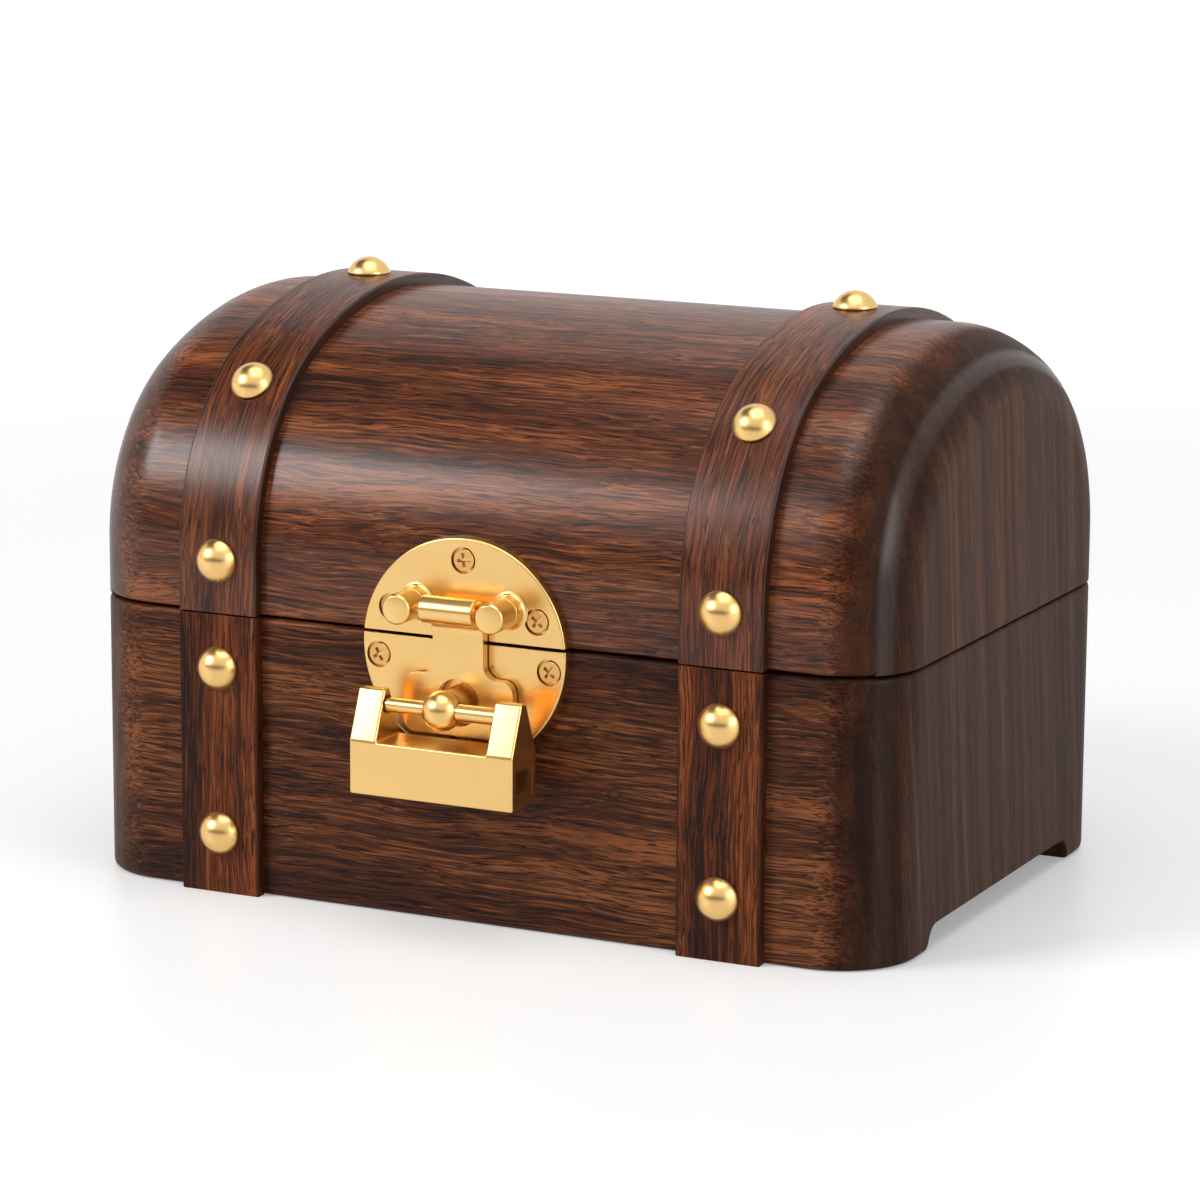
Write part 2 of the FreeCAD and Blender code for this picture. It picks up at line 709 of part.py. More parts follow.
# Lock plate: one disc, split at the parting line
def plate_body(label, upper):
    body = add_body(label)
    back = size.plate_thickness if upper else as_size(0)
    sketch = add_sketch(body, "XZ_Plane", "Disc", half_depth - back)
    level = lid_bottom + size.plate_slit if upper else size.base_height - size.plate_slit
    rise = level - plate_middle
    half = root_of(size.plate_radius * size.plate_radius - rise * rise)
    ends = (half, -half) if upper else (-half, half)
    add_loop(sketch, [(ends[0], level, size.plate_radius, "left"), (ends[1], level)])
    pad(body, sketch, size.plate_thickness + back)
    bevel_edges(body, size.plate_ease, lambda edge: near(edge.BoundBox.YMin, plate_front)
                and near(edge.BoundBox.YMax, plate_front) and edge.BoundBox.ZLength > float(size.overrun))
    return body


# Lug: a turned stud with a foot on the plate and a bevelled front end
def lug(label, side):
    radius, foot = float(size.lug_radius), float(size.lug_flange_radius)
    reach, bevel = float(size.lug_reach), float(size.lug_bevel)
    thick = float(size.lug_flange)
    shape = faceted([(foot, 0), (foot, thick), (radius, thick), (radius, reach - bevel),
                     (radius - bevel, reach)], LOCK_FLAT_COUNT)
    return add_shape(label + "_blank", leaned(shape, 0, size.lug_spacing * side, plate_front, pin_height))


def rod_body(label, radius, half_length, along_x, along_y, along_z):
    body = add_body(label, along_x, along_y, along_z)
    sketch = add_sketch(body, "YZ_Plane", "Section")
    add_circle(sketch, 0, 0, radius)
    pad(body, sketch, half_length * 2, "Symmetric")
    return body


def rod(label, radius, half_length, along_x, along_y, along_z):
    return finish(label, rod_body(label, radius, half_length, along_x, along_y, along_z))


# Hasp: side view padded to its full width, then its front outline and its holes cut from it
def hasp():
    body = add_body("hasp", along_y=plate_front)
    back = -size.hasp_gap
    front = back - size.hasp_thickness
    axis = -size.hasp_pin_standoff
    strip_back = axis + size.barrel_radius
    strip_front = strip_back - size.hasp_thickness
    low = post_height - size.hasp_below_post
    upper, lower = pin_height - size.crank_top, pin_height - size.crank_bottom
    side_view = add_sketch(body, "YZ_Plane", "Side view")
    add_loop(side_view, [(front, low), (back, low), (back, lower), (strip_back, upper),
                         (strip_back, pin_height), (strip_front, pin_height),
                         (strip_front, upper - size.hasp_thickness / 2),
                         (front, lower - size.hasp_thickness / 2)])
    pad(body, side_view, size.hasp_width, "Symmetric")
    crank = size.hasp_thickness * 2
    round_edges(body, crank, lambda edge: edge.BoundBox.XLength > float(size.barrel_length)
                and float(lower - size.hasp_thickness) < edge.BoundBox.ZMin < float(upper + size.overrun))
    cut_hasp_outline(body, low)
    barrel = add_sketch(body, "YZ_Plane", "Barrel")
    add_circle(barrel, axis, pin_height, size.barrel_radius)
    pad(body, barrel, size.barrel_length, "Symmetric")
    bore = add_sketch(body, "YZ_Plane", "Bore")
    add_circle(bore, axis, pin_height, size.hasp_pin_radius + size.pin_clearance)
    pocket(body, bore)
    hole = add_sketch(body, "XZ_Plane", "Post hole")
    add_circle(hole, 0, post_height + size.hasp_hole_lift, size.ball_radius + size.hasp_hole_gap)
    pocket(body, hole)
    return finish("hasp", body)


def cut_hasp_outline(body, low):
    neck, wide = size.hasp_neck / 2, size.hasp_width / 2
    top, bottom = post_height + size.hasp_flare_rise, post_height + size.hasp_flare_fall
    beyond, above = wide + size.overrun, pin_height + size.barrel_radius + size.overrun
    middle_x, middle_z = (neck + wide) / 2, (top + bottom) / 2
    flare = flare_radius(wide - neck, top - bottom)
    for side in (-1, 1):
        turns = ("left", "right") if side > 0 else ("right", "left")
        sketch = add_sketch(body, "XZ_Plane", "Neck")
        add_loop(sketch, [(neck * side, above), (neck * side, top, flare, turns[0]),
                          (middle_x * side, middle_z, flare, turns[1]), (wide * side, bottom),
                          (beyond * side, bottom), (beyond * side, above)])
        pocket(body, sketch)
    round_edges(body, size.hasp_corner, lambda edge: near(edge.BoundBox.ZMin, low)
                and near(edge.BoundBox.ZMax, low) and near(edge.BoundBox.XLength, 0))


# Radius of the two equal arcs of an S that starts and ends upright
def flare_radius(across, down):
    return (across * across + down * down) / (across * 4)


# Post: a ball on a stub, with a shank through the plate and a cross hole for the padlock's bar
BALL_BAND_COUNT = 5


def post_shape():
    ball, post, tenon = float(size.ball_radius), float(size.post_radius), float(size.post_tenon_radius)
    last = math.pi - math.asin(post / ball)
    angles = [last * step / BALL_BAND_COUNT for step in range(BALL_BAND_COUNT, -1, -1)]
    middle = float(size.ball_standoff)
    head = [(ball * math.sin(angle) if angle else 0, middle + ball * math.cos(angle)) for angle in angles]
    return faceted([(tenon, -float(size.post_tenon_length)), (tenon, 0), (post, 0), *head], LOCK_FLAT_COUNT)


def lock_post():
    blank = add_shape("post_blank", leaned(post_shape(), 0, 0, plate_front, post_height))
    cross = size.bar_radius + size.bar_clearance
    hole = rod_body("cross_hole", cross, size.ball_radius + size.overrun, 0, ball_forward, post_height)
    return carve("lock_post", blank, [hole])


# Padlock case: roof-shaped block with a gap for the post, a keyway and a recess for the arm
def padlock_case():
    body = add_body("padlock_case", along_y=ball_forward, along_z=case_bottom)
    half, ridge = size.case_depth / 2, size.ridge_width / 2
    section = add_sketch(body, "YZ_Plane", "Section")
    add_loop(section, [(-half, 0), (half, 0), (half, size.case_face), (ridge, size.case_height),
                       (-ridge, size.case_height), (-half, size.case_face)])
    pad(body, section, size.case_width, "Symmetric")
    bevel_edges(body, size.case_ease, lambda edge: True)
    gap = add_sketch(body, "XZ_Plane", "Gap")
    inner, above = size.case_width / 2 - size.shoulder_width, size.case_height + size.overrun
    add_loop(gap, rectangle(-inner, inner, size.case_face, above))
    pocket(body, gap)
    cut_case_bores(body)
    cut_case_chamber(body)
    return finish("padlock_case", body)


def cut_case_bores(body):
    bar_height = size.case_height - size.bar_below_ridge
    inner, half = size.case_width / 2 - size.shoulder_width, size.case_width / 2
    wide = size.bar_radius + size.bar_clearance
    left = add_sketch(body, "YZ_Plane", "Left bore", -half - size.overrun)
    add_circle(left, 0, bar_height, wide)
    pocket(body, left, size.shoulder_width + size.overrun * 2, reverse=True)
    ring = add_sketch(body, "YZ_Plane", "Ring", -inner - size.bar_ring_depth)
    add_circle(ring, 0, bar_height, size.bar_ring_radius)
    pocket(body, ring, size.bar_ring_depth + size.overrun, reverse=True)
    right = add_sketch(body, "YZ_Plane", "Right bore", inner - size.overrun)
    add_circle(right, 0, bar_height, wide)
    pocket(body, right, size.bar_seat + size.bar_clearance + size.overrun, reverse=True)


def cut_case_chamber(body):
    half, forward = size.case_width / 2, -size.key_forward
    key, tall, throat = size.key_width / 2, size.key_height / 2, size.throat_size / 2
    keyway = add_sketch(body, "YZ_Plane", "Keyway", half - size.key_length)
    add_loop(keyway, rectangle(forward - key, forward + key, size.key_rise - tall, size.key_rise + tall))
    pocket(body, keyway, size.key_length + size.overrun, reverse=True)
    passage = add_sketch(body, "YZ_Plane", "Throat", -half - size.overrun)
    add_loop(passage, rectangle(forward - throat, forward + throat,
                                size.key_rise - throat, size.key_rise + throat))
    pocket(body, passage, half * 2 - size.key_length + size.overrun * 2, reverse=True)
    cut_arm_recess(body, forward)
    guide = add_sketch(body, "YZ_Plane", "Guide slot", half - size.guide_depth)
    middle, slot = size.case_depth / 2 - size.guide_back, size.guide_width / 2
    low = size.key_rise - size.guide_length / 2
    add_loop(guide, rectangle(middle - slot, middle + slot, low, low + size.guide_length))
    pocket(body, guide, size.guide_depth + size.overrun, reverse=True)


def arm_span():
    bar_height = size.case_height - size.bar_below_ridge
    return size.key_rise - size.arm_width / 2, bar_height + size.bar_neck_radius


def cut_arm_recess(body, forward):
    half, play = size.case_width / 2, size.arm_play
    low, high = arm_span()
    reach = size.arm_width / 2 + play
    recess = add_sketch(body, "YZ_Plane", "Arm recess", -half - size.overrun)
    add_loop(recess, rectangle(forward - reach, reach, low - play, high + play))
    pocket(body, recess, size.arm_thickness + play + size.overrun, reverse=True)


# Shackle: stepped bar above, square bolt below, joined by an arm that lies in the left end
def padlock_shackle():
    body = add_body("padlock_shackle", along_y=ball_forward, along_z=case_bottom)
    half, forward = size.case_width / 2, -size.key_forward
    low, high = arm_span()
    reach, bolt = size.arm_width / 2, size.bolt_size / 2
    arm = add_sketch(body, "YZ_Plane", "Arm", -half)
    add_loop(arm, rectangle(forward - reach, reach, low, high))
    pad(body, arm, size.arm_thickness)
    section = add_sketch(body, "YZ_Plane", "Bolt", -half)
    add_loop(section, rectangle(forward - bolt, forward + bolt, size.key_rise - bolt, size.key_rise + bolt))
    pad(body, section, size.case_width - size.bolt_tip)
    bar_height = size.case_height - size.bar_below_ridge
    neck = add_sketch(body, "YZ_Plane", "Neck", -half)
    add_circle(neck, 0, bar_height, size.bar_neck_radius)
    tip = half - size.shoulder_width + size.bar_seat
    pad(body, neck, half + tip)
    thick = add_sketch(body, "YZ_Plane", "Thick end", size.overrun / 2)
    add_circle(thick, 0, bar_height, size.bar_radius)
    pad(body, thick, tip - size.overrun / 2)
    return finish("padlock_shackle", body)


# Spring: two leaves riveted to the sides of the bolt's tip, drawn squeezed as the key holds them
def padlock_spring():
    label = "padlock_spring"
    body_front = float(ball_forward - size.key_forward)
    tip = float(size.case_width / 2 - size.bolt_tip)
    thick, spread = float(size.leaf_spring), float(size.leaf_spread)
    length, half, up = float(size.leaf_spring_length), float(size.bolt_size) / 2, float(key_middle)
    leaves = []
    for side in (-1, 1):
        near_face = body_front + side * half
        points = [(tip, 0), (tip, thick), (tip - length / 2, thick), (tip - length, thick + spread),
                  (tip - length, spread), (tip - length / 2, 0)]
        corners = [FreeCAD.Vector(x, near_face + side * y, up - half) for x, y in points]
        face = Part.Face(Part.makePolygon([*corners, corners[0]]))
        leaves.append(face.extrude(FreeCAD.Vector(0, 0, half * 2)))
    return finish(label, add_shape(label, Part.makeCompound(leaves)))


# Butt hinge: a leaf let into the edge of the wood, with its share of the knuckles
KNUCKLE_COUNT = 3


def hinge_leaf(label, side, on_lid):
    body = add_body(label, along_x=hinge_centre * side, along_y=hinge_back, along_z=hinge_height)
    inner = half_depth - size.leaf_width - hinge_back
    wood = half_depth - hinge_back
    half = size.hinge_length / 2
    level = size.lid_gap / 2 if on_lid else -size.lid_gap / 2 - size.leaf_thickness
    plate = add_sketch(body, "XY_Plane", "Leaf", level)
    add_loop(plate, rectangle(-half, half, inner, 0))
    pad(body, plate, size.leaf_thickness)
    barrel = add_sketch(body, "YZ_Plane", "Barrel")
    add_circle(barrel, 0, 0, size.knuckle_radius)
    pad(body, barrel, size.hinge_length, "Symmetric")
    bore = add_sketch(body, "YZ_Plane", "Bore")
    add_circle(bore, 0, 0, size.hinge_pin_radius + size.pin_clearance)
    pocket(body, bore)
    slots = add_sketch(body, "XY_Plane", "Slots")
    pitch = (size.hinge_length + size.knuckle_gap) / KNUCKLE_COUNT
    length = pitch - size.knuckle_gap
    beyond = size.knuckle_radius + size.overrun
    for number in range(KNUCKLE_COUNT):
        if (number % 2 == 1) == on_lid:
            continue
        start = pitch * number - half
        left = start - (size.knuckle_gap if number > 0 else size.overrun)
        right = start + length + (size.knuckle_gap if number < KNUCKLE_COUNT - 1 else size.overrun)
        add_loop(slots, rectangle(left, right, wood, beyond))
    pocket(body, slots)
    return body


def hinge_screws(label, on_lid):
    screw = screw_shape(float(size.hinge_screw_radius), float(size.hinge_screw_shank),
                        float(size.hinge_screw_length))
    along = half_depth - size.leaf_width / 2
    screws = []
    for side in (-1, 1):
        for end in (-1, 1):
            across = hinge_centre * side + size.hinge_screw_offset * end
            up = lid_bottom if on_lid else size.base_height
            lean = -90 if on_lid else 90
            screws.append(leaned(screw, lean, across, along, up))
    return finish(label, add_shape(label, Part.makeCompound(screws)))


# Assembly of the lock on the front
def build_lock(dome_tool):
    upper_places = [(0, plate_middle + size.top_screw_rise)]
    lower_places = [(0, plate_middle - size.bottom_screw_drop)]
    for side in (-1, 1):
        upper_places.append((size.upper_screw_side * side, plate_middle + size.upper_screw_rise))
        lower_places.append((size.lower_screw_side * side, plate_middle - size.lower_screw_drop))
    upper_screws = plate_screws("upper_plate_screws", upper_places)
    lower_screws = plate_screws("lower_plate_screws", lower_places)
    post = lock_post()
    carve("upper_lock_plate", plate_body("upper_lock_plate", True), [dome_tool, upper_screws])
    carve("lower_lock_plate", plate_body("lower_lock_plate", False), [lower_screws, post])
    half_pin = size.lug_spacing + size.lug_radius - size.lug_bevel
    pin = rod("hasp_pin", size.hasp_pin_radius, half_pin, 0, pin_forward, pin_height)
    for label, side in (("left_lug", -1), ("right_lug", 1)):
        carve(label, lug(label, side), [pin])
    hasp()
    padlock_case()
    padlock_shackle()
    padlock_spring()
    return upper_screws, lower_screws, post


def build_hinges():
    base_leaves, lid_leaves = [], []
    base_screws = hinge_screws("hinge_base_screws", False)
    lid_screws = hinge_screws("hinge_lid_screws", True)
    for name, side in (("left", -1), ("right", 1)):
        base_label, lid_label = name + "_hinge_base_leaf", name + "_hinge_lid_leaf"
        base_leaves.append(carve(base_label, hinge_leaf(base_label, side, False), [base_screws]))
        lid_leaves.append(carve(lid_label, hinge_leaf(lid_label, side, True), [lid_screws]))
        rod(name + "_hinge_pin", size.hinge_pin_radius, size.hinge_length / 2,
            hinge_centre * side, hinge_back, hinge_height)
    return [*base_leaves, base_screws], [*lid_leaves, lid_screws]


def build_base(nails, lower_screws, post, hinge_parts):
    panel = bottom_panel()
    carve("front_board", board("front_board", 0), [panel, nails, lower_screws, post])
    right = board("right_end_board", 1)
    cut_arch(right)
    carve("right_end_board", right, [panel])
    carve("back_board", board("back_board", 2), [panel, nails, *hinge_parts])
    left = board("left_end_board", 3)
    cut_arch(left)
    carve("left_end_board", left, [panel])
    for name, side in (("left", -1), ("right", 1)):
        for place_name, face in (("front", -1), ("back", 1)):
            label = "base_strap_" + place_name + "_" + name
            carve(label, base_strap(label, side, face), [nails])


def build_lid(arch, block, nails, upper_screws, hinge_parts):
    dome, ends = lid_boards(arch, block)
    carve("lid_dome", add_shape("lid_dome_blank", dome), [nails, upper_screws, *hinge_parts])
    for label, shape in zip(("lid_end_left", "lid_end_right"), ends):
        finish(label, add_shape(label, shape))
    for name, side in (("left", -1), ("right", 1)):
        label = "lid_strap_" + name
        carve(label, add_shape(label + "_blank", lid_strap(arch, side)), [nails])


def build():
    arch = Arch()
    block = lid_block(arch)
    dome_tool = add_shape("lid_block", block)
    upper_screws, lower_screws, post = build_lock(dome_tool)
    base_hinge_parts, lid_hinge_parts = build_hinges()
    build_base(base_nails(), lower_screws, post, base_hinge_parts)
    build_lid(arch, block, lid_nails(arch), upper_screws, lid_hinge_parts)


# Nothing is written until every object and every shape is sound
def check():
    document.recompute()
    for item in document.Objects:
        if "Invalid" in item.State or "Error" in item.State:
            raise RuntimeError(item.Name + " is not sound: " + str(item.State))
    for item in sub_parts:
        if item.Shape.isNull() or not item.Shape.isValid() or not item.Shape.Solids:
            raise RuntimeError(item.Label + " has no sound shape")


def write():
    os.makedirs("parts", exist_ok=True)
    for item in sub_parts:
        item.Shape.exportStep("parts/" + item.Label + ".step")
        box = item.Shape.BoundBox
        print(item.Label, len(item.Shape.Solids), "solids", round(item.Shape.Volume / 1000, 2), "ml",
              [round(value, 1) for value in (box.XMin, box.XMax, box.YMin, box.YMax, box.ZMin, box.ZMax)])


build()
check()
write()
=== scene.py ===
"""Looks of a small domed wooden chest with a brass lock, built round its fixed CAD frame."""
import logging
import math
from dataclasses import dataclass, field, replace
from enum import Enum
from typing import Any, Callable, Sequence

import bmesh
import bpy
from mathutils import Matrix, Vector


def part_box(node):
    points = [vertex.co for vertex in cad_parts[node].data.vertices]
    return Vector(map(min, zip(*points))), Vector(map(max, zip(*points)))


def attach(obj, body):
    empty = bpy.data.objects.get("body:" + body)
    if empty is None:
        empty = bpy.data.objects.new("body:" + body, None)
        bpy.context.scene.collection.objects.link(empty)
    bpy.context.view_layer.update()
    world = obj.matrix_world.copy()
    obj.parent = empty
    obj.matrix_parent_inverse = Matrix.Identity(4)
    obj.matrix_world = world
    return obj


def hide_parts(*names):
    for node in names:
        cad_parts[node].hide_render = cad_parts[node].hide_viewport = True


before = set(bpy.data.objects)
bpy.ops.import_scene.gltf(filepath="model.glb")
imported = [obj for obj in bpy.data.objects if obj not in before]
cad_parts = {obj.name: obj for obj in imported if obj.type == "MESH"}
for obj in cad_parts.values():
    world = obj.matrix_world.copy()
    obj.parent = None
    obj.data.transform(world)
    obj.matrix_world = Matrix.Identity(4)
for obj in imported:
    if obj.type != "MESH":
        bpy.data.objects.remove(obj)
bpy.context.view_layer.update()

LOG = logging.getLogger("chest")
MM = 0.001
SHARP, CLEAR, SHALLOW, FLAT = (math.radians(angle) for angle in (35, 28, 12, 0.5))
NEAR = 0.01
MERGE = 0.0005
Colour = tuple[float, float, float]
Range = tuple[float, float]
Spot = tuple[float, float, float, float]
Form = bmesh.types.BMesh
Edge = bmesh.types.BMEdge
Wanted = Callable[[Edge], bool]
Grain = Callable[[Vector], Sequence[float]]
Test = Callable[[Vector], bool]


# ---------------------------------------------------------------- modelling in millimetres

def corners_of(*nodes: str) -> tuple[Vector, Vector]:
    """Finds the box round some CAD nodes.

    Args:
        nodes: Names of the nodes.

    Returns:
        The lowest and the highest corner, in millimetres.
    """
    boxes = [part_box(node) for node in nodes]
    low = Vector([min(box[0][axis] for box in boxes) for axis in range(3)])
    high = Vector([max(box[1][axis] for box in boxes) for axis in range(3)])
    return low / MM, high / MM


def middle_of(*nodes: str) -> Vector:
    """Gives the middle of the box round some CAD nodes, in millimetres."""
    low, high = corners_of(*nodes)
    return (low + high) / 2


def block(low: Sequence[float], high: Sequence[float]) -> Form:
    """Models an upright block.

    Args:
        low: Its lowest corner.
        high: Its highest corner.

    Returns:
        The block.
    """
    form = bmesh.new()
    bmesh.ops.create_cube(form, size=1)
    bmesh.ops.scale(form, vec=Vector(high) - Vector(low), verts=form.verts)
    bmesh.ops.translate(form, vec=(Vector(high) + Vector(low)) / 2, verts=form.verts)
    return form


def disc(radius: float, depth: float, steps: int) -> Form:
    """Models a round disc or rod that stands on the floor of its own space.

    Args:
        radius: Its radius.
        depth: Its height along Z.
        steps: Flats round it.

    Returns:
        The disc.
    """
    form = bmesh.new()
    bmesh.ops.create_cone(form, cap_ends=True, segments=steps, radius1=radius, radius2=radius,
                          depth=depth)
    bmesh.ops.translate(form, vec=(0, 0, depth / 2), verts=form.verts)
    return form


def plate_of(points: Sequence[Sequence[float]]) -> Form:
    """Makes one flat face from a few corners.

    Args:
        points: Its corners in order.

    Returns:
        The face alone.
    """
    form = bmesh.new()
    form.faces.new([form.verts.new(point) for point in points])
    return form


def turned(profile: Sequence[tuple[float, float]], steps: int, closed: bool = False) -> Form:
    """Turns a profile about Z, as on a lathe.

    Args:
        profile: Points of (radius, height) in order.
        steps: Flats round the form.
        closed: Whether the last point joins the first, as in a ring.

    Returns:
        The turned form, with its poles closed.
    """
    form = bmesh.new()
    verts = [form.verts.new((radius, 0, height)) for radius, height in profile]
    pairs = list(zip(verts, verts[1:])) + ([(verts[-1], verts[0])] if closed else [])
    edges = [form.edges.new(pair) for pair in pairs]
    bmesh.ops.spin(form, geom=[*verts, *edges], cent=(0, 0, 0), axis=(0, 0, 1), angle=math.tau,
                   steps=steps, use_merge=True)
    return closed_up(form)


def closed_up(form: Form) -> Form:
    """Merges doubled corners and turns every face outwards.

    Args:
        form: The form to close.

    Returns:
        The same form.
    """
    bmesh.ops.remove_doubles(form, verts=form.verts, dist=MERGE)
    bmesh.ops.recalc_face_normals(form, faces=form.faces)
    return form


def is_sharp(edge: Edge) -> bool:
    """Tells whether two faces meet in a clear edge."""
    return len(edge.link_faces) == 2 and edge.calc_face_angle(0) > CLEAR


def is_creased(edge: Edge) -> bool:
    """Tells whether two faces meet in even a shallow edge."""
    return len(edge.link_faces) == 2 and edge.calc_face_angle(0) > SHALLOW


def is_upright(edge: Edge) -> bool:
    """Tells whether an edge runs upwards by more than a millimetre."""
    return abs(edge.verts[0].co.z - edge.verts[1].co.z) > 1


def lies_at(edge: Edge, axis: int, place: float) -> bool:
    """Tells whether an edge lies in the plane at a place along an axis."""
    return all(abs(vertex.co[axis] - place) < NEAR for vertex in edge.verts)


def within(test: Test) -> Wanted:
    """Picks the clear edges whose two ends both pass a test of their place."""
    return lambda edge: is_sharp(edge) and all(test(vertex.co) for vertex in edge.verts)


def open_rim(form: Form) -> list[Edge]:
    """Gives the edges that only one face has."""
    return [edge for edge in form.edges if edge.is_boundary]


def soften(form: Form, width: float, segments: int = 2, wanted: Wanted = is_sharp) -> Form:
    """Rounds the wanted edges of a form.

    Args:
        form: The form.
        width: Width of the rounding.
        segments: Flats across the rounding.
        wanted: Picks the edges.

    Returns:
        The same form.
    """
    edges = [edge for edge in form.edges if wanted(edge)]
    bmesh.ops.bevel(form, geom=edges, offset=width, offset_type="OFFSET", segments=segments,
                    profile=0.5, affect="EDGES", clamp_overlap=True, material=-1)
    return form


def rounded(form: Form, width: float, segments: int, wanted: Test) -> Form:
    """Rounds the wanted corners of a flat face.

    Args:
        form: The face.
        width: Width of the rounding.
        segments: Flats across the rounding.
        wanted: Picks the corners by their place.

    Returns:
        The same form.
    """
    corners = [vertex for vertex in form.verts if wanted(vertex.co)]
    bmesh.ops.bevel(form, geom=corners, offset=width, offset_type="OFFSET", segments=segments,
                    profile=0.5, affect="VERTICES", clamp_overlap=True, material=-1)
    return form


def carried(form: Form, grown: dict[str, Any], shift: Sequence[float]) -> None:
    """Moves the corners that an extrusion has made."""
    moved = [item for item in grown["geom"] if isinstance(item, bmesh.types.BMVert)]
    bmesh.ops.translate(form, vec=shift, verts=moved)


def extruded(form: Form, shift: Sequence[float]) -> Form:
    """Draws a flat face out into a closed solid and gives it back."""
    carried(form, bmesh.ops.extrude_face_region(form, geom=form.faces[:]), shift)
    return closed_up(form)


def cut_off(form: Form, point: Sequence[float], normal: Sequence[float], fill: bool = True) -> Form:
    """Cuts off what lies beyond a plane and closes the cut.

    Args:
        form: The form.
        point: A point in the plane.
        normal: Direction of the side that goes.
        fill: Whether the cut is closed with a face.

    Returns:
        The same form.
    """
    everything = [*form.verts, *form.edges, *form.faces]
    cut = bmesh.ops.bisect_plane(form, geom=everything, dist=0.0001, plane_co=Vector(point),
                                 plane_no=Vector(normal), clear_outer=True)
    rim = [item for item in cut["geom_cut"] if isinstance(item, bmesh.types.BMEdge)]
    if fill and rim:
        bmesh.ops.edgeloop_fill(form, edges=rim)
    return form


def placed(form: Form, place: Matrix) -> Form:
    """Moves a form to its place and gives it back."""
    bmesh.ops.transform(form, matrix=place, verts=form.verts)
    return form


def with_copy(form: Form, part: Form, place: Matrix = Matrix(), last: bool = False) -> Form:
    """Adds a placed copy of a part to a form, as a shell of its own.

    Args:
        form: The form that grows.
        part: The part.
        place: Where the copy goes.
        last: Whether the part is used up by this copy.

    Returns:
        The form.
    """
    mesh = bpy.data.meshes.new("copy")
    part.to_mesh(mesh)
    mesh.transform(place)
    form.from_mesh(mesh)
    bpy.data.meshes.remove(mesh)
    if last:
        part.free()
    return form


def mesh_of(form: Form, name: str) -> bpy.types.Mesh:
    """Turns a form into a mesh and uses the form up.

    Args:
        form: The form.
        name: The mesh's name.

    Returns:
        The mesh.
    """
    mesh = bpy.data.meshes.new(name)
    form.to_mesh(mesh)
    form.free()
    return mesh


def new_object(name: str, data: Any) -> bpy.types.Object:
    """Adds an object to the scene.

    Args:
        name: Its name.
        data: Its mesh, lamp or camera.

    Returns:
        The object.
    """
    item = bpy.data.objects.new(name, data)
    bpy.context.scene.collection.objects.link(item)
    return item


class Cut(Enum):
    """How one solid works on another."""

    AWAY = "DIFFERENCE"
    SHARED = "INTERSECT"
    JOINED = "UNION"


def worked(form: Form, tool: Form, how: Cut = Cut.AWAY) -> Form:
    """Works a form with a tool solid.

    Args:
        form: The form, used up here.
        tool: The tool solid, used up here.
        how: What the tool does.

    Returns:
        The worked form.
    """
    base = new_object("work", mesh_of(form, "work"))
    other = new_object("tool", mesh_of(tool, "tool"))
    step = base.modifiers.new("cut", "BOOLEAN")
    step.operation, step.solver, step.object = how.value, "EXACT", other
    graph = bpy.context.evaluated_depsgraph_get()
    result = bpy.data.meshes.new_from_object(base.evaluated_get(graph))
    made = bmesh.new()
    made.from_mesh(result)
    used = [base.data, other.data, result]
    for item in (base, other):
        bpy.data.objects.remove(item)
    for mesh in used:
        bpy.data.meshes.remove(mesh)
    bmesh.ops.remove_doubles(made, verts=made.verts, dist=MERGE)
    bmesh.ops.dissolve_limit(made, angle_limit=FLAT, verts=made.verts, edges=made.edges)
    return made


def facing(lean: float, x: float, y: float, z: float) -> Matrix:
    """Places a form whose +Z looks out of the chest, leaning up from the front by degrees."""
    return Matrix.Translation((x, y, z)) @ Matrix.Rotation(math.radians(90 - lean), 4, "X")


def along_x(x: float, y: float, z: float) -> Matrix:
    """Places a form whose +Z is to run along the width."""
    return Matrix.Translation((x, y, z)) @ Matrix.Rotation(math.radians(90), 4, "Y")


def sleeve(bore: float, radius: float, length: float, steps: int, ease: float, flats: int) -> Form:
    """Models a tube with eased edges that stands on the floor of its own space."""
    profile = [(bore, 0), (radius, 0), (radius, length), (bore, length)]
    return soften(turned(profile, steps, closed=True), ease, flats)


def pin_of(node: str, steps: int) -> Form:
    """Models a plain pin along the width.

    Args:
        node: The CAD node that it stands for.
        steps: Flats round it.

    Returns:
        The pin, in its place.
    """
    low, high = corners_of(node)
    pin = soften(disc((high.z - low.z) / 2, high.x - low.x, steps), 0.2, 2)
    return placed(pin, along_x(low.x, *((low + high) / 2).yz))


def upwards(co: Vector) -> Sequence[float]:
    """Gives the grain vector of an upright board, whose grain runs along the width."""
    return co.x, co.z, co.y


# ---------------------------------------------------------------- finishes

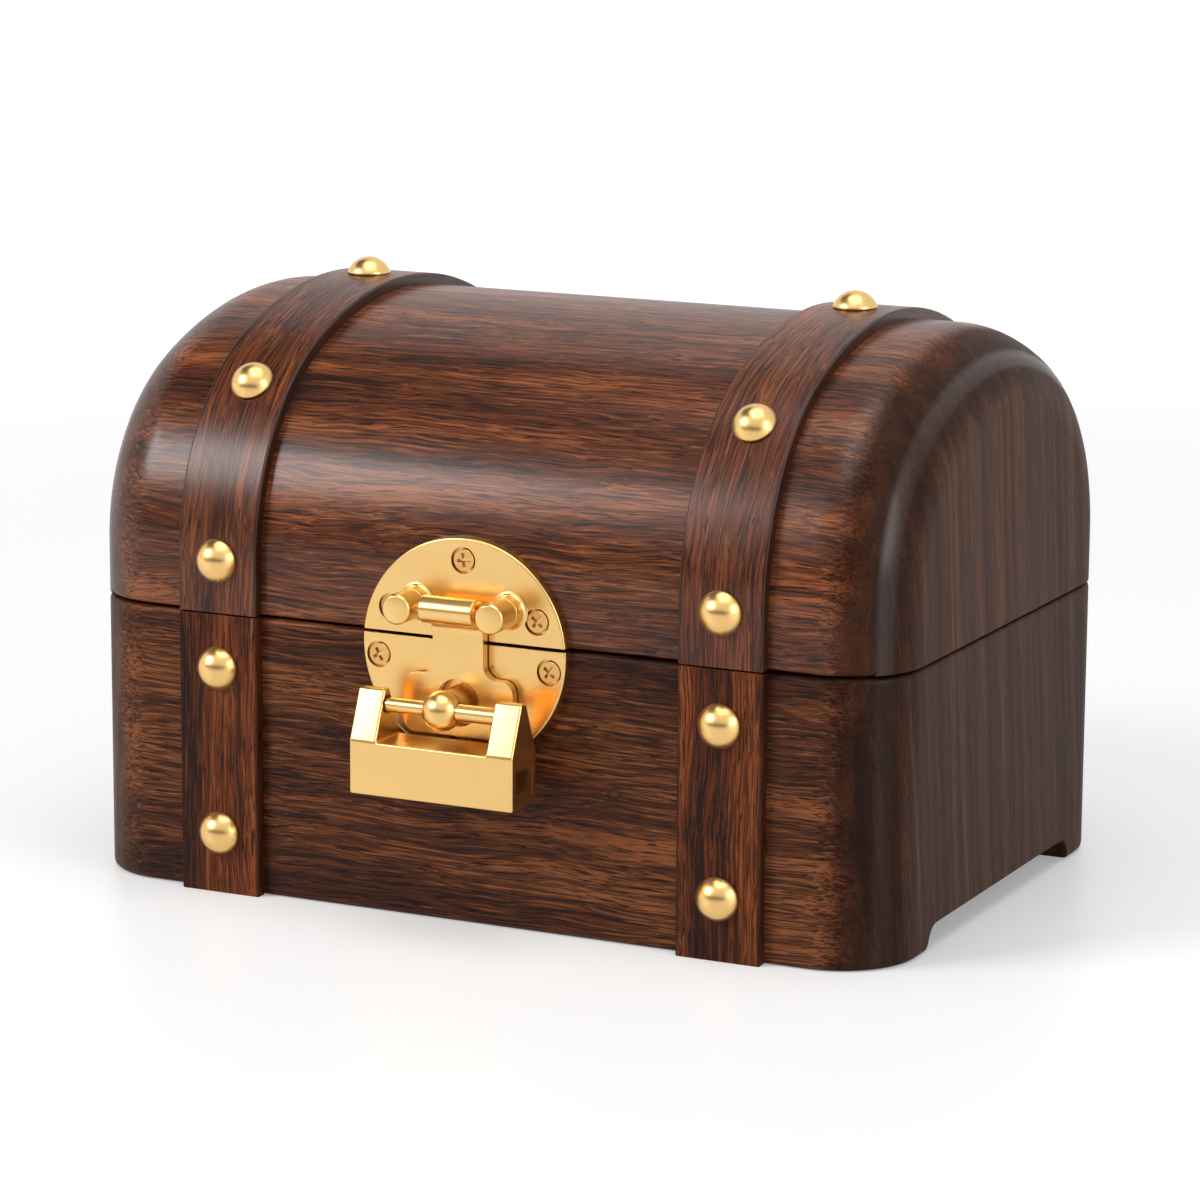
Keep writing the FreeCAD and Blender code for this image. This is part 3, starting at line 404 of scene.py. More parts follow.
class Shop:
    """A material's or node group's tree, with short calls to fill it.

    A value is a number, a colour, a vector or the output of another node.
    """

    def __init__(self, tree: bpy.types.NodeTree) -> None:
        """Takes the tree to fill."""
        self.tree = tree

    def feed(self, socket: Any, value: Any) -> None:
        """Gives an input its value.

        Args:
            socket: The input.
            value: Its value.
        """
        if isinstance(value, bpy.types.NodeSocket):
            self.tree.links.new(value, socket)
        else:
            socket.default_value = (*value, 1) if socket.type == "RGBA" else value

    def fill(self, node: bpy.types.Node, **inputs: Any) -> None:
        """Gives several inputs of a node their values.

        Args:
            node: The node.
            inputs: Values by label or number; each _ stands for a space or is left out.
        """
        for name, value in inputs.items():
            label = name.strip("_").replace("_", " ")
            self.feed(node.inputs[int(label) if label.isdigit() else label], value)

    def add(self, kind: str, **settings: Any) -> bpy.types.Node:
        """Adds a node.

        Args:
            kind: Its type without the leading ShaderNode.
            settings: Its properties; names that start with in_ are the values of its inputs.

        Returns:
            The node.
        """
        node = self.tree.nodes.new("ShaderNode" + kind)
        for name, value in settings.items():
            if name.startswith("in_"):
                self.fill(node, **{name[2:]: value})
            else:
                setattr(node, name, value)
        return node

    def maths(self, how: str, one: Any, other: Any = 0.0) -> Any:
        """Works two values with a Math node and gives the result."""
        return self.add("Math", operation=how, in_0=one, in_1=other).outputs[0]

    def times(self, one: Any, other: Any) -> Any:
        """Multiplies two values."""
        return self.maths("MULTIPLY", one, other)

    def plus(self, one: Any, other: Any) -> Any:
        """Adds two values."""
        return self.maths("ADD", one, other)

    def minus(self, one: Any, other: Any) -> Any:
        """Takes the second value from the first."""
        return self.maths("SUBTRACT", one, other)

    def size(self, value: Any) -> Any:
        """Drops a value's sign."""
        return self.maths("ABSOLUTE", value)

    def vector(self, how: str, one: Any, other: Any) -> Any:
        """Works two vectors with a Vector Math node and gives the result."""
        return self.add("VectorMath", operation=how, in_0=one, in_1=other).outputs[0]

    def noise(self, source: Any, scale: Colour, detail: float, rough: float = 0.5,
              warp: float = 0.0) -> Any:
        """Adds a noise over a vector.

        Args:
            source: The vector.
            scale: Its scale along each of the three directions.
            detail: Its number of octaves.
            rough: How strong the finer octaves are.
            warp: How far it distorts itself.

        Returns:
            The noise's value.
        """
        node = self.add("TexNoise", in_Vector=self.vector("MULTIPLY", source, scale), in_Scale=1.0,
                        in_Detail=detail, in_Roughness=rough, in_Distortion=warp)
        return node.outputs["Fac"]

    def spread(self, value: Any, low: float, high: float, start: float = 0.0,
               end: float = 1.0) -> Any:
        """Spreads a range of a value smoothly over another range.

        Args:
            value: The value.
            low: Where the range starts.
            high: Where it ends.
            start: What the start becomes.
            end: What the end becomes.

        Returns:
            The result.
        """
        node = self.add("MapRange", interpolation_type="SMOOTHSTEP", in_Value=value,
                        in_From_Min=low, in_From_Max=high, in_To_Min=start, in_To_Max=end)
        return node.outputs["Result"]

    def band(self, value: Any, rise: Range, fall: Range) -> Any:
        """Gives one between a rise and a fall and zero outside them."""
        return self.times(self.spread(value, *rise), self.spread(value, *fall))

    def mixed(self, share: Any, one: Any, other: Any) -> Any:
        """Mixes two colours by the share of the second."""
        return self.add("Mix", data_type="RGBA", in_0=share, in_6=one, in_7=other).outputs[2]


def new_group(name: str, inputs: dict[str, str], outputs: dict[str, str]) -> tuple[Shop, Any, Any]:
    """Starts a shader node group.

    Args:
        name: Its name.
        inputs: Socket kinds by name: Vector, Color or Float.
        outputs: The same for what it puts out.

    Returns:
        Its tree to fill, its input node and its output node.
    """
    group = bpy.data.node_groups.new(name, "ShaderNodeTree")
    for way, sockets in (("INPUT", inputs), ("OUTPUT", outputs)):
        for label, kind in sockets.items():
            group.interface.new_socket(name=label, in_out=way, socket_type="NodeSocket" + kind)
    return Shop(group), group.nodes.new("NodeGroupInput"), group.nodes.new("NodeGroupOutput")


class SharedEffects:
    """Effects that several finishes use, each made once."""

    def __init__(self) -> None:
        """Makes the effects' node groups."""
        self.grain = self.make_grain()
        self.wear = self.make_wear()

    @staticmethod
    def make_grain() -> bpy.types.NodeTree:
        """Makes wood grain: a broad figure, wandering streaks and short dark pores.

        Returns:
            The group. Its grain vector runs along the wood in X, in metres.
        """
        shop, given, made = new_group(
            "wood_grain",
            {"Grain": "Vector", "Dark": "Color", "Middle": "Color", "Light": "Color",
             "Waver": "Float"},
            {"Color": "Color", "Gloss": "Float", "Height": "Float"})
        start, dark, middle, light, waver = given.outputs[:5]
        drift = shop.add("TexNoise", in_Vector=shop.vector("MULTIPLY", start, (22, 70, 70)),
                         in_Scale=1.0, in_Detail=2.0)
        centred = shop.vector("SUBTRACT", drift.outputs["Color"], (0.5, 0.5, 0.5))
        moved = shop.add("VectorMath", operation="SCALE", in_0=centred, in_Scale=waver)
        path = shop.vector("ADD", start, moved.outputs[0])
        figure = shop.noise(path, (6, 110, 110), 3.0, 0.5, 0.4)
        streaks = shop.noise(path, (30, 1350, 1350), 5.0, 0.75)
        threads = shop.noise(path, (70, 2600, 2600), 2.0, 0.6)
        veins = shop.spread(shop.noise(path, (14, 800, 800), 3.0, 0.6), 0.56, 0.64)
        pores = shop.spread(shop.noise(path, (120, 2700, 2700), 1.0, 0.4), 0.36, 0.41, 1.0, 0.0)
        tone = shop.plus(shop.times(figure, 0.34), shop.times(streaks, 0.41))
        tone = shop.plus(tone, shop.times(threads, 0.25))
        colour = shop.mixed(shop.spread(tone, 0.40, 0.50), dark, middle)
        colour = shop.mixed(shop.spread(tone, 0.495, 0.585), colour, light)
        colour = shop.mixed(shop.times(veins, 0.65), colour, dark)
        colour = shop.mixed(shop.times(pores, 0.85), colour, dark)
        shop.fill(made, Color=colour,
                  Gloss=shop.plus(shop.times(streaks, 0.10), shop.times(pores, 0.16)),
                  Height=shop.minus(shop.times(threads, 0.35), shop.times(pores, 1.0)))
        return shop.tree

    @staticmethod
    def make_wear() -> bpy.types.NodeTree:
        """Makes the marks of handled metal: cloudy patches and fine scuffs.

        Returns:
            The group, which reads a position in metres.
        """
        shop, given, made = new_group("metal_wear", {"Position": "Vector", "Strength": "Float"},
                                      {"Tint": "Float", "Gloss": "Float", "Height": "Float"})
        place, strength = given.outputs[:2]
        clouds = shop.noise(place, (160, 160, 160), 4.0, 0.55, 0.3)
        fine = shop.noise(place, (900, 900, 3400), 3.0, 0.6)
        scuffs = shop.spread(shop.noise(place, (2600, 700, 500), 2.0, 0.5), 0.60, 0.72)
        gloss = shop.plus(shop.times(clouds, 0.10), shop.times(scuffs, 0.10))
        height = shop.plus(shop.times(fine, 0.5), shop.times(scuffs, 0.1))
        shop.fill(made, Tint=shop.times(shop.spread(clouds, 0.35, 0.7), strength),
                  Gloss=shop.times(gloss, strength), Height=shop.times(height, strength))
        return shop.tree


def new_material(name: str) -> tuple[bpy.types.Material, Shop, bpy.types.Node, bpy.types.Node]:
    """Starts a material with its shader.

    Args:
        name: The material's name.

    Returns:
        The material, its tree, its Principled shader and its output node.
    """
    material = bpy.data.materials.new(name)
    material.use_nodes = True
    material.node_tree.nodes.clear()
    shop = Shop(material.node_tree)
    shader = shop.add("BsdfPrincipled")
    return material, shop, shader, shop.add("OutputMaterial", in_Surface=shader.outputs[0])


@dataclass(frozen=True)
class WoodTone:
    """Three linear colours of one cut of wood."""

    dark: Colour
    middle: Colour
    light: Colour


@dataclass(frozen=True)
class WoodFinish:
    """Oiled rosewood whose grain runs along the piece and turns upright at the chest's corners.

    Places are in metres from the chest's middle, each pair from where a change starts to where it
    ends. Painted shade darkens the right corner and the straps' long edges and sides by their
    place.
    """

    name: str
    face: WoodTone
    end: WoodTone
    roughness: float = 0.46
    lacquer: float = 0.14
    coat_roughness: float = 0.30
    corners: bool = True
    face_waver: float = 0.0055
    turn: Range = (0.0860, 0.0935)
    wander: float = 0.014
    lean: float = 0.13
    end_stretch: Colour = (1.0, 2.9, 2.9)
    end_waver: tuple[float, float, float, float] = (0.088, 0.0985, 0.017, 0.0040)
    end_lacquer: float = 0.014
    end_coat: Range = (0.0950, 0.0992)
    warm: Range = (0.0945, 0.0905)
    warm_share: float = 0.15
    corner_shade: Range = (0.0835, 0.0895)
    corner_shade_end: Range = (0.0998, 0.0982)
    corner_shade_share: float = 0.62
    corner_shade_patches: float = 0.12
    corner_coat_fade: Range = (0.0845, 0.0890)
    ridge: Range = (0.0938, 0.0954)
    ridge_end: Range = (0.0978, 0.0964)
    strap_place: float = 0.062
    strap_shade_band: Range = (0.0089, 0.0098)
    strap_shade_share: float = 0.72

    @staticmethod
    def grain(shop: Shop, effects: SharedEffects, tone: WoodTone, vector: Any,
              waver: Any) -> bpy.types.Node:
        """Places the shared grain, along a vector, with a cut's colours and how far it wanders."""
        return shop.add("Group", node_tree=effects.grain, in_Grain=vector, in_Dark=tone.dark,
                        in_Middle=tone.middle, in_Light=tone.light, in_Waver=waver)

    def at_corners(self, shop: Shop, effects: SharedEffects, place: Any,
                   colour: Any) -> tuple[Any, Any, Any]:
        """Turns the grain upright at the corners, paints shade on the right one and dulls its coat.

        Args:
            shop: The material's tree.
            effects: The shared node groups.
            place: The place in the chest.
            colour: The face's colour.

        Returns:
            The colour, the fine relief, which follows the end's grain and is gone at the corners,
            and the coat's weight.
        """
        right, deep, high = shop.add("SeparateXYZ", in_0=place).outputs[:3]
        out = shop.size(right)
        wander = shop.minus(shop.noise(place, (40, 40, 75), 3.0, 0.5, 0.5), 0.5)
        turn = shop.spread(shop.plus(out, shop.times(wander, self.wander)), *self.turn)
        leaning = shop.plus(deep, shop.times(high, self.lean))
        upright = shop.add("CombineXYZ", in_0=high, in_1=leaning, in_2=right).outputs[0]
        fine = shop.vector("MULTIPLY", upright, self.end_stretch)
        end = self.grain(shop, effects, self.end, fine, shop.spread(out, *self.end_waver))
        patch = shop.spread(shop.noise(place, (90, 90, 60), 3.0, 0.5, 0.6), 0.46, 0.62)
        colour = shop.mixed(turn, colour, end.outputs["Color"])
        warm = shop.times(turn, shop.spread(out, *self.warm))
        warm = shop.times(warm, shop.times(patch, self.warm_share))
        colour = shop.mixed(warm, colour, self.face.light)
        relief = shop.add("Mix", data_type="FLOAT", in_0=turn, in_2=end.outputs["Height"])
        # Painted shade: the right corner alone is darkened towards the face's dark tone, a little
        # less where the noise patches are.
        corner_shade_mask = shop.minus(self.corner_shade_share, shop.times(patch, self.corner_shade_patches))
        corner_shade_mask = shop.times(shop.band(right, self.corner_shade, self.corner_shade_end), corner_shade_mask)
        colour = shop.mixed(corner_shade_mask, colour, self.face.dark)
        coat = shop.spread(out, *self.end_coat, self.lacquer, self.end_lacquer)
        worn = shop.spread(right, *self.corner_coat_fade, self.lacquer, self.end_lacquer)
        ridge = shop.times(shop.band(right, self.ridge, self.ridge_end), self.lacquer)
        coat = shop.maths("MINIMUM", coat, shop.maths("MAXIMUM", worn, ridge))
        return colour, relief.outputs[0], coat

    def with_painted_edge_shade(self, shop: Shop, place: Any, colour: Any) -> Any:
        """Paints shade on the long edges and side faces of a strap.

        Args:
            shop: The material's tree.
            place: The place in the chest.
            colour: The strap's colour.

        Returns:
            The colour with painted shade on its edges.
        """
        right = shop.add("SeparateXYZ", in_0=place).outputs[0]
        beside = shop.size(shop.minus(shop.size(right), self.strap_place))
        # Painted shade: the outer millimetre and the side faces of each strap are darkened towards
        # its dark tone.
        edge = shop.times(shop.spread(beside, *self.strap_shade_band), self.strap_shade_share)
        return shop.mixed(edge, colour, self.face.dark)

    def material(self, effects: SharedEffects) -> bpy.types.Material:
        """Builds the material.

        Args:
            effects: The shared node groups.

        Returns:
            The material.
        """
        material, shop, shader, _ = new_material(self.name)
        place = shop.add("TexCoord").outputs["Object"]
        along = shop.add("Attribute", attribute_name="grain").outputs["Vector"]
        colour, gloss, height = self.grain(shop, effects, self.face, along, self.face_waver).outputs
        coat = self.lacquer
        if self.corners:
            colour, height, coat = self.at_corners(shop, effects, place, colour)
        else:
            colour = self.with_painted_edge_shade(shop, place, colour)
        bump = shop.add("Bump", in_Strength=0.5, in_Distance=0.00006, in_Height=height)
        shop.fill(shader, Base_Color=colour, Roughness=shop.plus(gloss, self.roughness),
                  Normal=bump.outputs[0], Specular_IOR_Level=0.07, Coat_Weight=coat,
                  Coat_Roughness=self.coat_roughness)
        return material


@dataclass(frozen=True)
class MetalFinish:
    """Satin metal with faint cloudy patches and scuffs."""

    name: str
    colour: Colour
    worn: Colour
    roughness: float
    strength: float = 1.0

    def material(self, effects: SharedEffects) -> bpy.types.Material:
        """Builds the material.

        Args:
            effects: The shared node groups.

        Returns:
            The material.
        """
        material, shop, shader, _ = new_material(self.name)
        wear = shop.add("Group", node_tree=effects.wear, in_Strength=self.strength,
                        in_Position=shop.add("TexCoord").outputs["Object"])
        tint, gloss, height = wear.outputs
        bump = shop.add("Bump", in_Strength=0.06, in_Distance=0.00005, in_Height=height)
        shop.fill(shader, Base_Color=shop.mixed(shop.times(tint, 0.5), self.colour, self.worn),
                  Roughness=shop.plus(gloss, self.roughness), Normal=bump.outputs[0], Metallic=1.0)
        return material


END_TONE = WoodTone((0.0240, 0.0098, 0.0060), (0.050, 0.0208, 0.0118), (0.110, 0.0480, 0.0250))
LID_END_TONE = WoodTone((0.0290, 0.0116, 0.0070), (0.060, 0.0247, 0.0138), (0.130, 0.0570, 0.0290))
ROSEWOOD = WoodFinish(
    "dark_rosewood", end=END_TONE,
    face=WoodTone((0.0110, 0.0036, 0.0020), (0.082, 0.0228, 0.0080), (0.262, 0.0850, 0.0280)))
STRAPWOOD = WoodFinish(
    "red_strap_wood", end=END_TONE, corners=False,
    face=WoodTone((0.0150, 0.0045, 0.0020), (0.114, 0.0255, 0.0065), (0.262, 0.0715, 0.0180)))
# Painted light: the dome's face tones are lighter than the box's, standing in for the stronger
# light on the dome; its thicker, smoother lacquer is a real finish.
DOMEWOOD = replace(
    ROSEWOOD, name="polished_rosewood_painted_light", lacquer=0.50, coat_roughness=0.24, end=LID_END_TONE,
    face=WoodTone((0.0140, 0.0042, 0.0021), (0.112, 0.0285, 0.0094), (0.305, 0.0920, 0.0280)))
DOMESTRAP = replace(
    STRAPWOOD, name="polished_strap_wood", lacquer=0.50, coat_roughness=0.26,
    face=WoodTone((0.0160, 0.0046, 0.0022), (0.104, 0.0250, 0.0078), (0.235, 0.0670, 0.0205)))
BRASS = MetalFinish("satin_brass", (0.800, 0.520, 0.198), (0.740, 0.455, 0.160), 0.26, 0.4)
# Painted shade: the screws' brass is darker than the plate's, standing in for the shade in their
# sunk heads and cross recesses.
SCREW_BRASS = MetalFinish("screw_brass_painted_shade", (0.690, 0.420, 0.148), (0.600, 0.350, 0.118), 0.28,
                          0.4)
STEEL = MetalFinish("spring_steel", (0.56, 0.55, 0.53), (0.42, 0.40, 0.38), 0.28)


class Bench:
    """Turns finished forms into pieces of the chest."""

    def __init__(self) -> None:
        """Makes the finishes' materials."""
        effects = SharedEffects()
        self.slots = {ROSEWOOD: "hardwood", DOMEWOOD: "hardwood", STRAPWOOD: "strap_wood",
                      DOMESTRAP: "strap_wood", BRASS: "brass", SCREW_BRASS: "brass",
                      STEEL: "spring_steel"}
        self.materials = {finish: finish.material(effects) for finish in self.slots}

    def piece(self, form: Form, name: str, finish: WoodFinish | MetalFinish, body: str,
              nodes: Sequence[str], grain: Grain | None = None) -> None:
        """Makes a piece that stands for CAD nodes and rides on their body.

        Args:
            form: The finished form in millimetres, used up here.
            name: The piece's name.
            finish: Its finish.
            body: The body that it rides on.
            nodes: The CAD nodes that it stands for.
            grain: Gives the grain vector of a point, both in metres.
        """
        bmesh.ops.scale(form, vec=(MM, MM, MM), verts=form.verts)
        mesh = mesh_of(form, name)
        mesh.polygons.foreach_set("use_smooth", [True] * len(mesh.polygons))
        mesh.set_sharp_from_angle(angle=SHARP)
        if grain:
            layer = mesh.attributes.new("grain", "FLOAT_VECTOR", "POINT")
            values = [part for vertex in mesh.vertices for part in grain(vertex.co)]
            layer.data.foreach_set("vector", values)
        mesh.materials.append(self.materials[finish])
        made = new_object(name, mesh)
        weighted = made.modifiers.new("even_shading", "WEIGHTED_NORMAL")
        weighted.keep_sharp, weighted.weight = True, 80
        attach(made, body)
        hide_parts(*nodes)
        LOG.info("%s: %d faces, rides on %s", name, len(mesh.polygons), body)

    def keep(self, node: str, finish: MetalFinish) -> None:
        """Gives a CAD node that stays its finish.

        Args:
            node: The node's name.
            finish: Its finish.
        """
        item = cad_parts[node]
        item.data.materials.clear()
        item.data.materials.append(self.materials[finish])
        LOG.info("%s: kept with a new finish", node)


# ---------------------------------------------------------------- lower box

class Side(Enum):
    """The four upright sides of the chest, each with its direction outwards."""

    FRONT = (0, -1)
    RIGHT = (1, 0)
    BACK = (0, 1)
    LEFT = (-1, 0)


@dataclass
class LowerBox:
    """The lower half: four mitred boards on feet and a panel let in between them."""

    bench: Bench
    wall: float = 9.0
    corner: float = 18.5
    corner_steps: int = 15
    foot_ease: float = 1.5
    parting: float = 0.35
    rim_ease: float = 1.1
    lip_inset: float = 3.0
    lip_depth: float = 3.0
    lip_gap: float = 0.02
    overrun: float = 5.0
    foot_length: float = 24.0
    arch_rise: float = 5.6
    arch_slope: float = 3.2
    arch_round: float = 2.4
    panel_corner: float = 8.0
    nodes: dict[Side, str] = field(default_factory=lambda: {
        Side.FRONT: "front_board", Side.RIGHT: "right_end_board", Side.BACK: "back_board",
        Side.LEFT: "left_end_board"})

    def whole(self) -> Form:
        """Models the four boards as one block with a lip inside its rim that keeps light out.

        Returns:
            The block, with rounded corners and eased rims.
        """
        low, high = corners_of(*self.nodes.values())
        high.z -= self.parting
        inset = Vector((self.lip_inset, self.lip_inset, 0))
        lip_low, lip_high = low + inset, high - inset
        lip_low.z, lip_high.z = high.z - self.lip_depth, corners_of("lid_dome")[0].z - self.lip_gap
        form, lip = block(low, high), block(lip_low, lip_high)
        soften(form, self.corner, self.corner_steps, is_upright)
        soften(lip, self.corner - self.lip_inset, self.corner_steps, is_upright)
        for level, ease in ((low.z, self.foot_ease), (high.z, self.rim_ease)):
            soften(form, ease, 3, within(lambda co, level=level: abs(co.z - level) < NEAR))
        return worked(form, lip, Cut.JOINED)

    def board(self, side: Side) -> Form:
        """Cuts one mitred board from the whole.

        Args:
            side: Which side it is.

        Returns:
            The board.
        """
        low, high = corners_of(*self.nodes.values())
        middle, half = (low + high) / 2, (high - low) / 2
        outward = Vector((*side.value, 0))
        across = Vector((-outward.y, outward.x, 0))
        depth, reach = abs(outward.dot(half)), abs(across.dot(half))
        form = self.whole()
        cut_off(form, middle + outward * (depth - self.wall), -outward)
        for turn in (-1, 1):
            edge = middle + outward * depth + across * reach * turn
            cut_off(form, edge, across * turn - outward)
        return closed_up(form)

    def arch(self) -> Form:
        """Models the space of the cut-out under both end boards.

        Returns:
            The space, as a bar that runs out at both ends.
        """
        low, high = corners_of(*self.nodes.values())
        front, back = low.y + self.foot_length, high.y - self.foot_length
        rise, slope = self.arch_rise, self.arch_slope
        form = plate_of([(low.x - self.overrun, y, z) for y, z in (
            (front - slope * 0.5, -rise * 0.5), (front + slope, rise), (back - slope, rise),
            (back + slope * 0.5, -rise * 0.5))])
        rounded(form, self.arch_round, 6, lambda co: co.z > 0)
        return extruded(form, (high.x - low.x + self.overrun * 2, 0, 0))

    def build(self) -> None:
        """Builds the boards and the bottom panel."""
        for side, node in self.nodes.items():
            form = self.board(side)
            if side in (Side.LEFT, Side.RIGHT):
                form = worked(form, self.arch())
            self.bench.piece(form, node + "_wood", ROSEWOOD, "base", [node], upwards)
        panel = soften(block(*corners_of("bottom_panel")), self.panel_corner, 1, is_upright)
        self.bench.piece(soften(panel, 0.3, 2), "bottom_panel_wood", ROSEWOOD, "base",
                         ["bottom_panel"], lambda co: (co.x, co.y, co.z))


# ---------------------------------------------------------------- domed lid

@dataclass
class ArchPath:
    """The lid's outline from the side: upright skirts, side arcs and a flatter crown."""

    skirt: float = 12.2
    side_share: float = 0.92
    side_steps: int = 20
    crown_steps: int = 30
    height: float = 66.1

    def __post_init__(self) -> None:
        """Works out the arcs from the boards' places."""
        low, high = corners_of("front_board", "back_board")
        self.front, self.back, self.foot = low.y, high.y, corners_of("lid_dome")[0].z
        self.middle = (low.y + high.y) / 2
        self.spring = self.foot + self.skirt
        tall = self.height - self.skirt
        self.side_radius = tall * self.side_share
        self.out = (high.y - low.y) / 2 - self.side_radius
        self.crown = ((self.out ** 2 + tall ** 2 - self.side_radius ** 2)
                      / (2 * (tall - self.side_radius)))
        self.crown_height = self.spring + tall - self.crown
        self.turn = math.atan2(self.spring - self.crown_height, self.out)

    def swept(self, form: Form) -> Form:
        """Carries a section from the front foot over the arch to the back foot.

        Args:
            form: The section alone, a face or a chain of edges in the foot's plane.

        Returns:
            The same form, swept.
        """
        steps = [((0, 0, 0), (0, 0, self.skirt), 0, 1),
                 ((0, self.middle - self.out, self.spring), (0, 0, 0), self.turn, self.side_steps),
                 ((0, self.middle, self.crown_height), (0, 0, 0), math.pi - 2 * self.turn,
                  self.crown_steps),
                 ((0, self.middle + self.out, self.spring), (0, 0, 0), self.turn, self.side_steps),
                 ((0, 0, 0), (0, 0, -self.skirt), 0, 1)]
        last = [*form.verts, *form.edges, *form.faces]
        for centre, shift, angle, count in steps:
            spun = bmesh.ops.spin(form, geom=last, cent=centre, axis=(-1, 0, 0), dvec=shift,
                                  angle=angle, steps=count, use_merge=False)
            last = spun["geom_last"]
        return form

    def point(self, angle: float, growth: float) -> tuple[float, float]:
        """Finds a point over the arch.

        Args:
            angle: Radians above the front.
            growth: How far outside the boards it is.

        Returns:
            Its place along the depth and its height.
        """
        if math.sin(angle) > math.sin(self.turn):
            radius = self.crown + growth
            return (self.middle - radius * math.cos(angle),
                    self.crown_height + radius * math.sin(angle))
        radius, side = self.side_radius + growth, -1 if math.cos(angle) > 0 else 1
        return (self.middle + self.out * side - radius * math.cos(angle),
                self.spring + radius * math.sin(angle))

    def measure(self, co: Vector) -> tuple[float, float]:
        """Measures a point along and across the arch.

        Args:
            co: The point, in metres.

        Returns:
            Its way from the crown over the arch and its growth outwards, in metres.
        """
        y, z = co.y / MM - self.middle, co.z / MM
        side, y = (1, y) if y > 0 else (-1, -y)
        around = math.atan2(z - self.spring, y - self.out)
        crown_part = self.crown * (math.pi / 2 - self.turn)
        if z <= self.spring:
            way = crown_part + self.side_radius * self.turn + self.spring - z
            growth = y - self.out - self.side_radius
        elif around < self.turn:
            way = crown_part + self.side_radius * (self.turn - around)
            growth = math.hypot(y - self.out, z - self.spring) - self.side_radius
        else:
            way = self.crown * math.atan2(y, z - self.crown_height)
            growth = math.hypot(y, z - self.crown_height) - self.crown
        return way * side * MM, growth * MM


@dataclass
class DomedLid:
    """The domed board and the two end boards that are mitred to it."""

    bench: Bench
    path: ArchPath
    wall: float = 9.0
    corner: float = 18.5
    corner_steps: int = 15
    rim_ease: float = 1.1
    eased_share: float = 0.3
    depth: float = 60.0
    grain_shift: float = 0.31

    def section(self) -> Form:
        """Draws the whole lid's rounded outline in the foot's plane, deep enough for every board.

        Returns:
            The outline as one face.
        """
        low, high = corners_of("lid_end_left", "lid_end_right")
        front, deep = self.path.front, self.path.front + self.depth
        form = plate_of([(low.x, deep, low.z), (low.x, front, low.z),
                         (high.x, front, low.z), (high.x, deep, low.z)])
        return rounded(form, self.corner, self.corner_steps, lambda co: co.y < front + 1)

    def dome(self) -> Form:
        """Models the board that is bent over the chest.

        Returns:
            The board, with its foot eased outside.
        """
        low, high = corners_of("lid_end_left", "lid_end_right")
        path, form = self.path, self.section()
        cut_off(form, (0, path.front + self.wall, 0), (0, 1, 0), fill=False)
        for x, turn in ((low.x, -1), (high.x, 1)):
            cut_off(form, (x, path.front, 0), (turn, 1, 0), fill=False)
        closed_up(path.swept(form))
        limit = path.middle - path.front - self.corner * self.eased_share
        return soften(form, self.rim_ease, 3, within(
            lambda co: abs(co.z - path.foot) < NEAR and abs(co.y - path.middle) > limit))

    def end(self, turn: int) -> Form:
        """Models an end board: its rounded edge is swept, then its faces are closed.

        Args:
            turn: -1 for the left end, 1 for the right.

        Returns:
            The board.
        """
        low, high = corners_of("lid_end_left", "lid_end_right")
        path, form, reach = self.path, self.section(), high.x if turn > 0 else low.x
        inner, deep = reach - self.wall * turn, path.front + self.corner
        cut_off(form, (inner, 0, 0), (-turn, 0, 0), fill=False)
        cut_off(form, (reach, path.front, 0), (-turn, -1, 0), fill=False)
        cut_off(form, (0, deep, 0), (0, 1, 0), fill=False)
        bmesh.ops.delete(form, geom=form.faces[:], context="FACES_ONLY")
        spare = [edge for edge in form.edges if lies_at(edge, 0, inner) or lies_at(edge, 1, deep)]
        bmesh.ops.delete(form, geom=spare, context="EDGES")
        path.swept(form)
        bmesh.ops.remove_doubles(form, verts=form.verts, dist=MERGE)
        foot = [edge for edge in open_rim(form) if lies_at(edge, 2, path.foot)]
        bmesh.ops.bridge_loops(form, edges=foot)
        bmesh.ops.holes_fill(form, edges=open_rim(form), sides=0)
        closed_up(form)
        limit = abs(reach) - self.corner * self.eased_share
        return soften(form, self.rim_ease, 3, within(
            lambda co: abs(co.z - path.foot) < NEAR and abs(co.x) > limit))

    def over(self, co: Vector) -> Sequence[float]:
        """Gives the dome's grain vector, which runs along the width."""
        way, growth = self.path.measure(co)
        return co.x + self.grain_shift, way, growth

    def build(self) -> None:
        """Builds the three boards of the lid."""
        self.bench.piece(self.dome(), "lid_dome_wood", DOMEWOOD, "lid", ["lid_dome"], self.over)
        for turn, node in ((-1, "lid_end_left"), (1, "lid_end_right")):
            self.bench.piece(self.end(turn), node + "_wood", DOMEWOOD, "lid", [node], upwards)


# ---------------------------------------------------------------- straps and nails

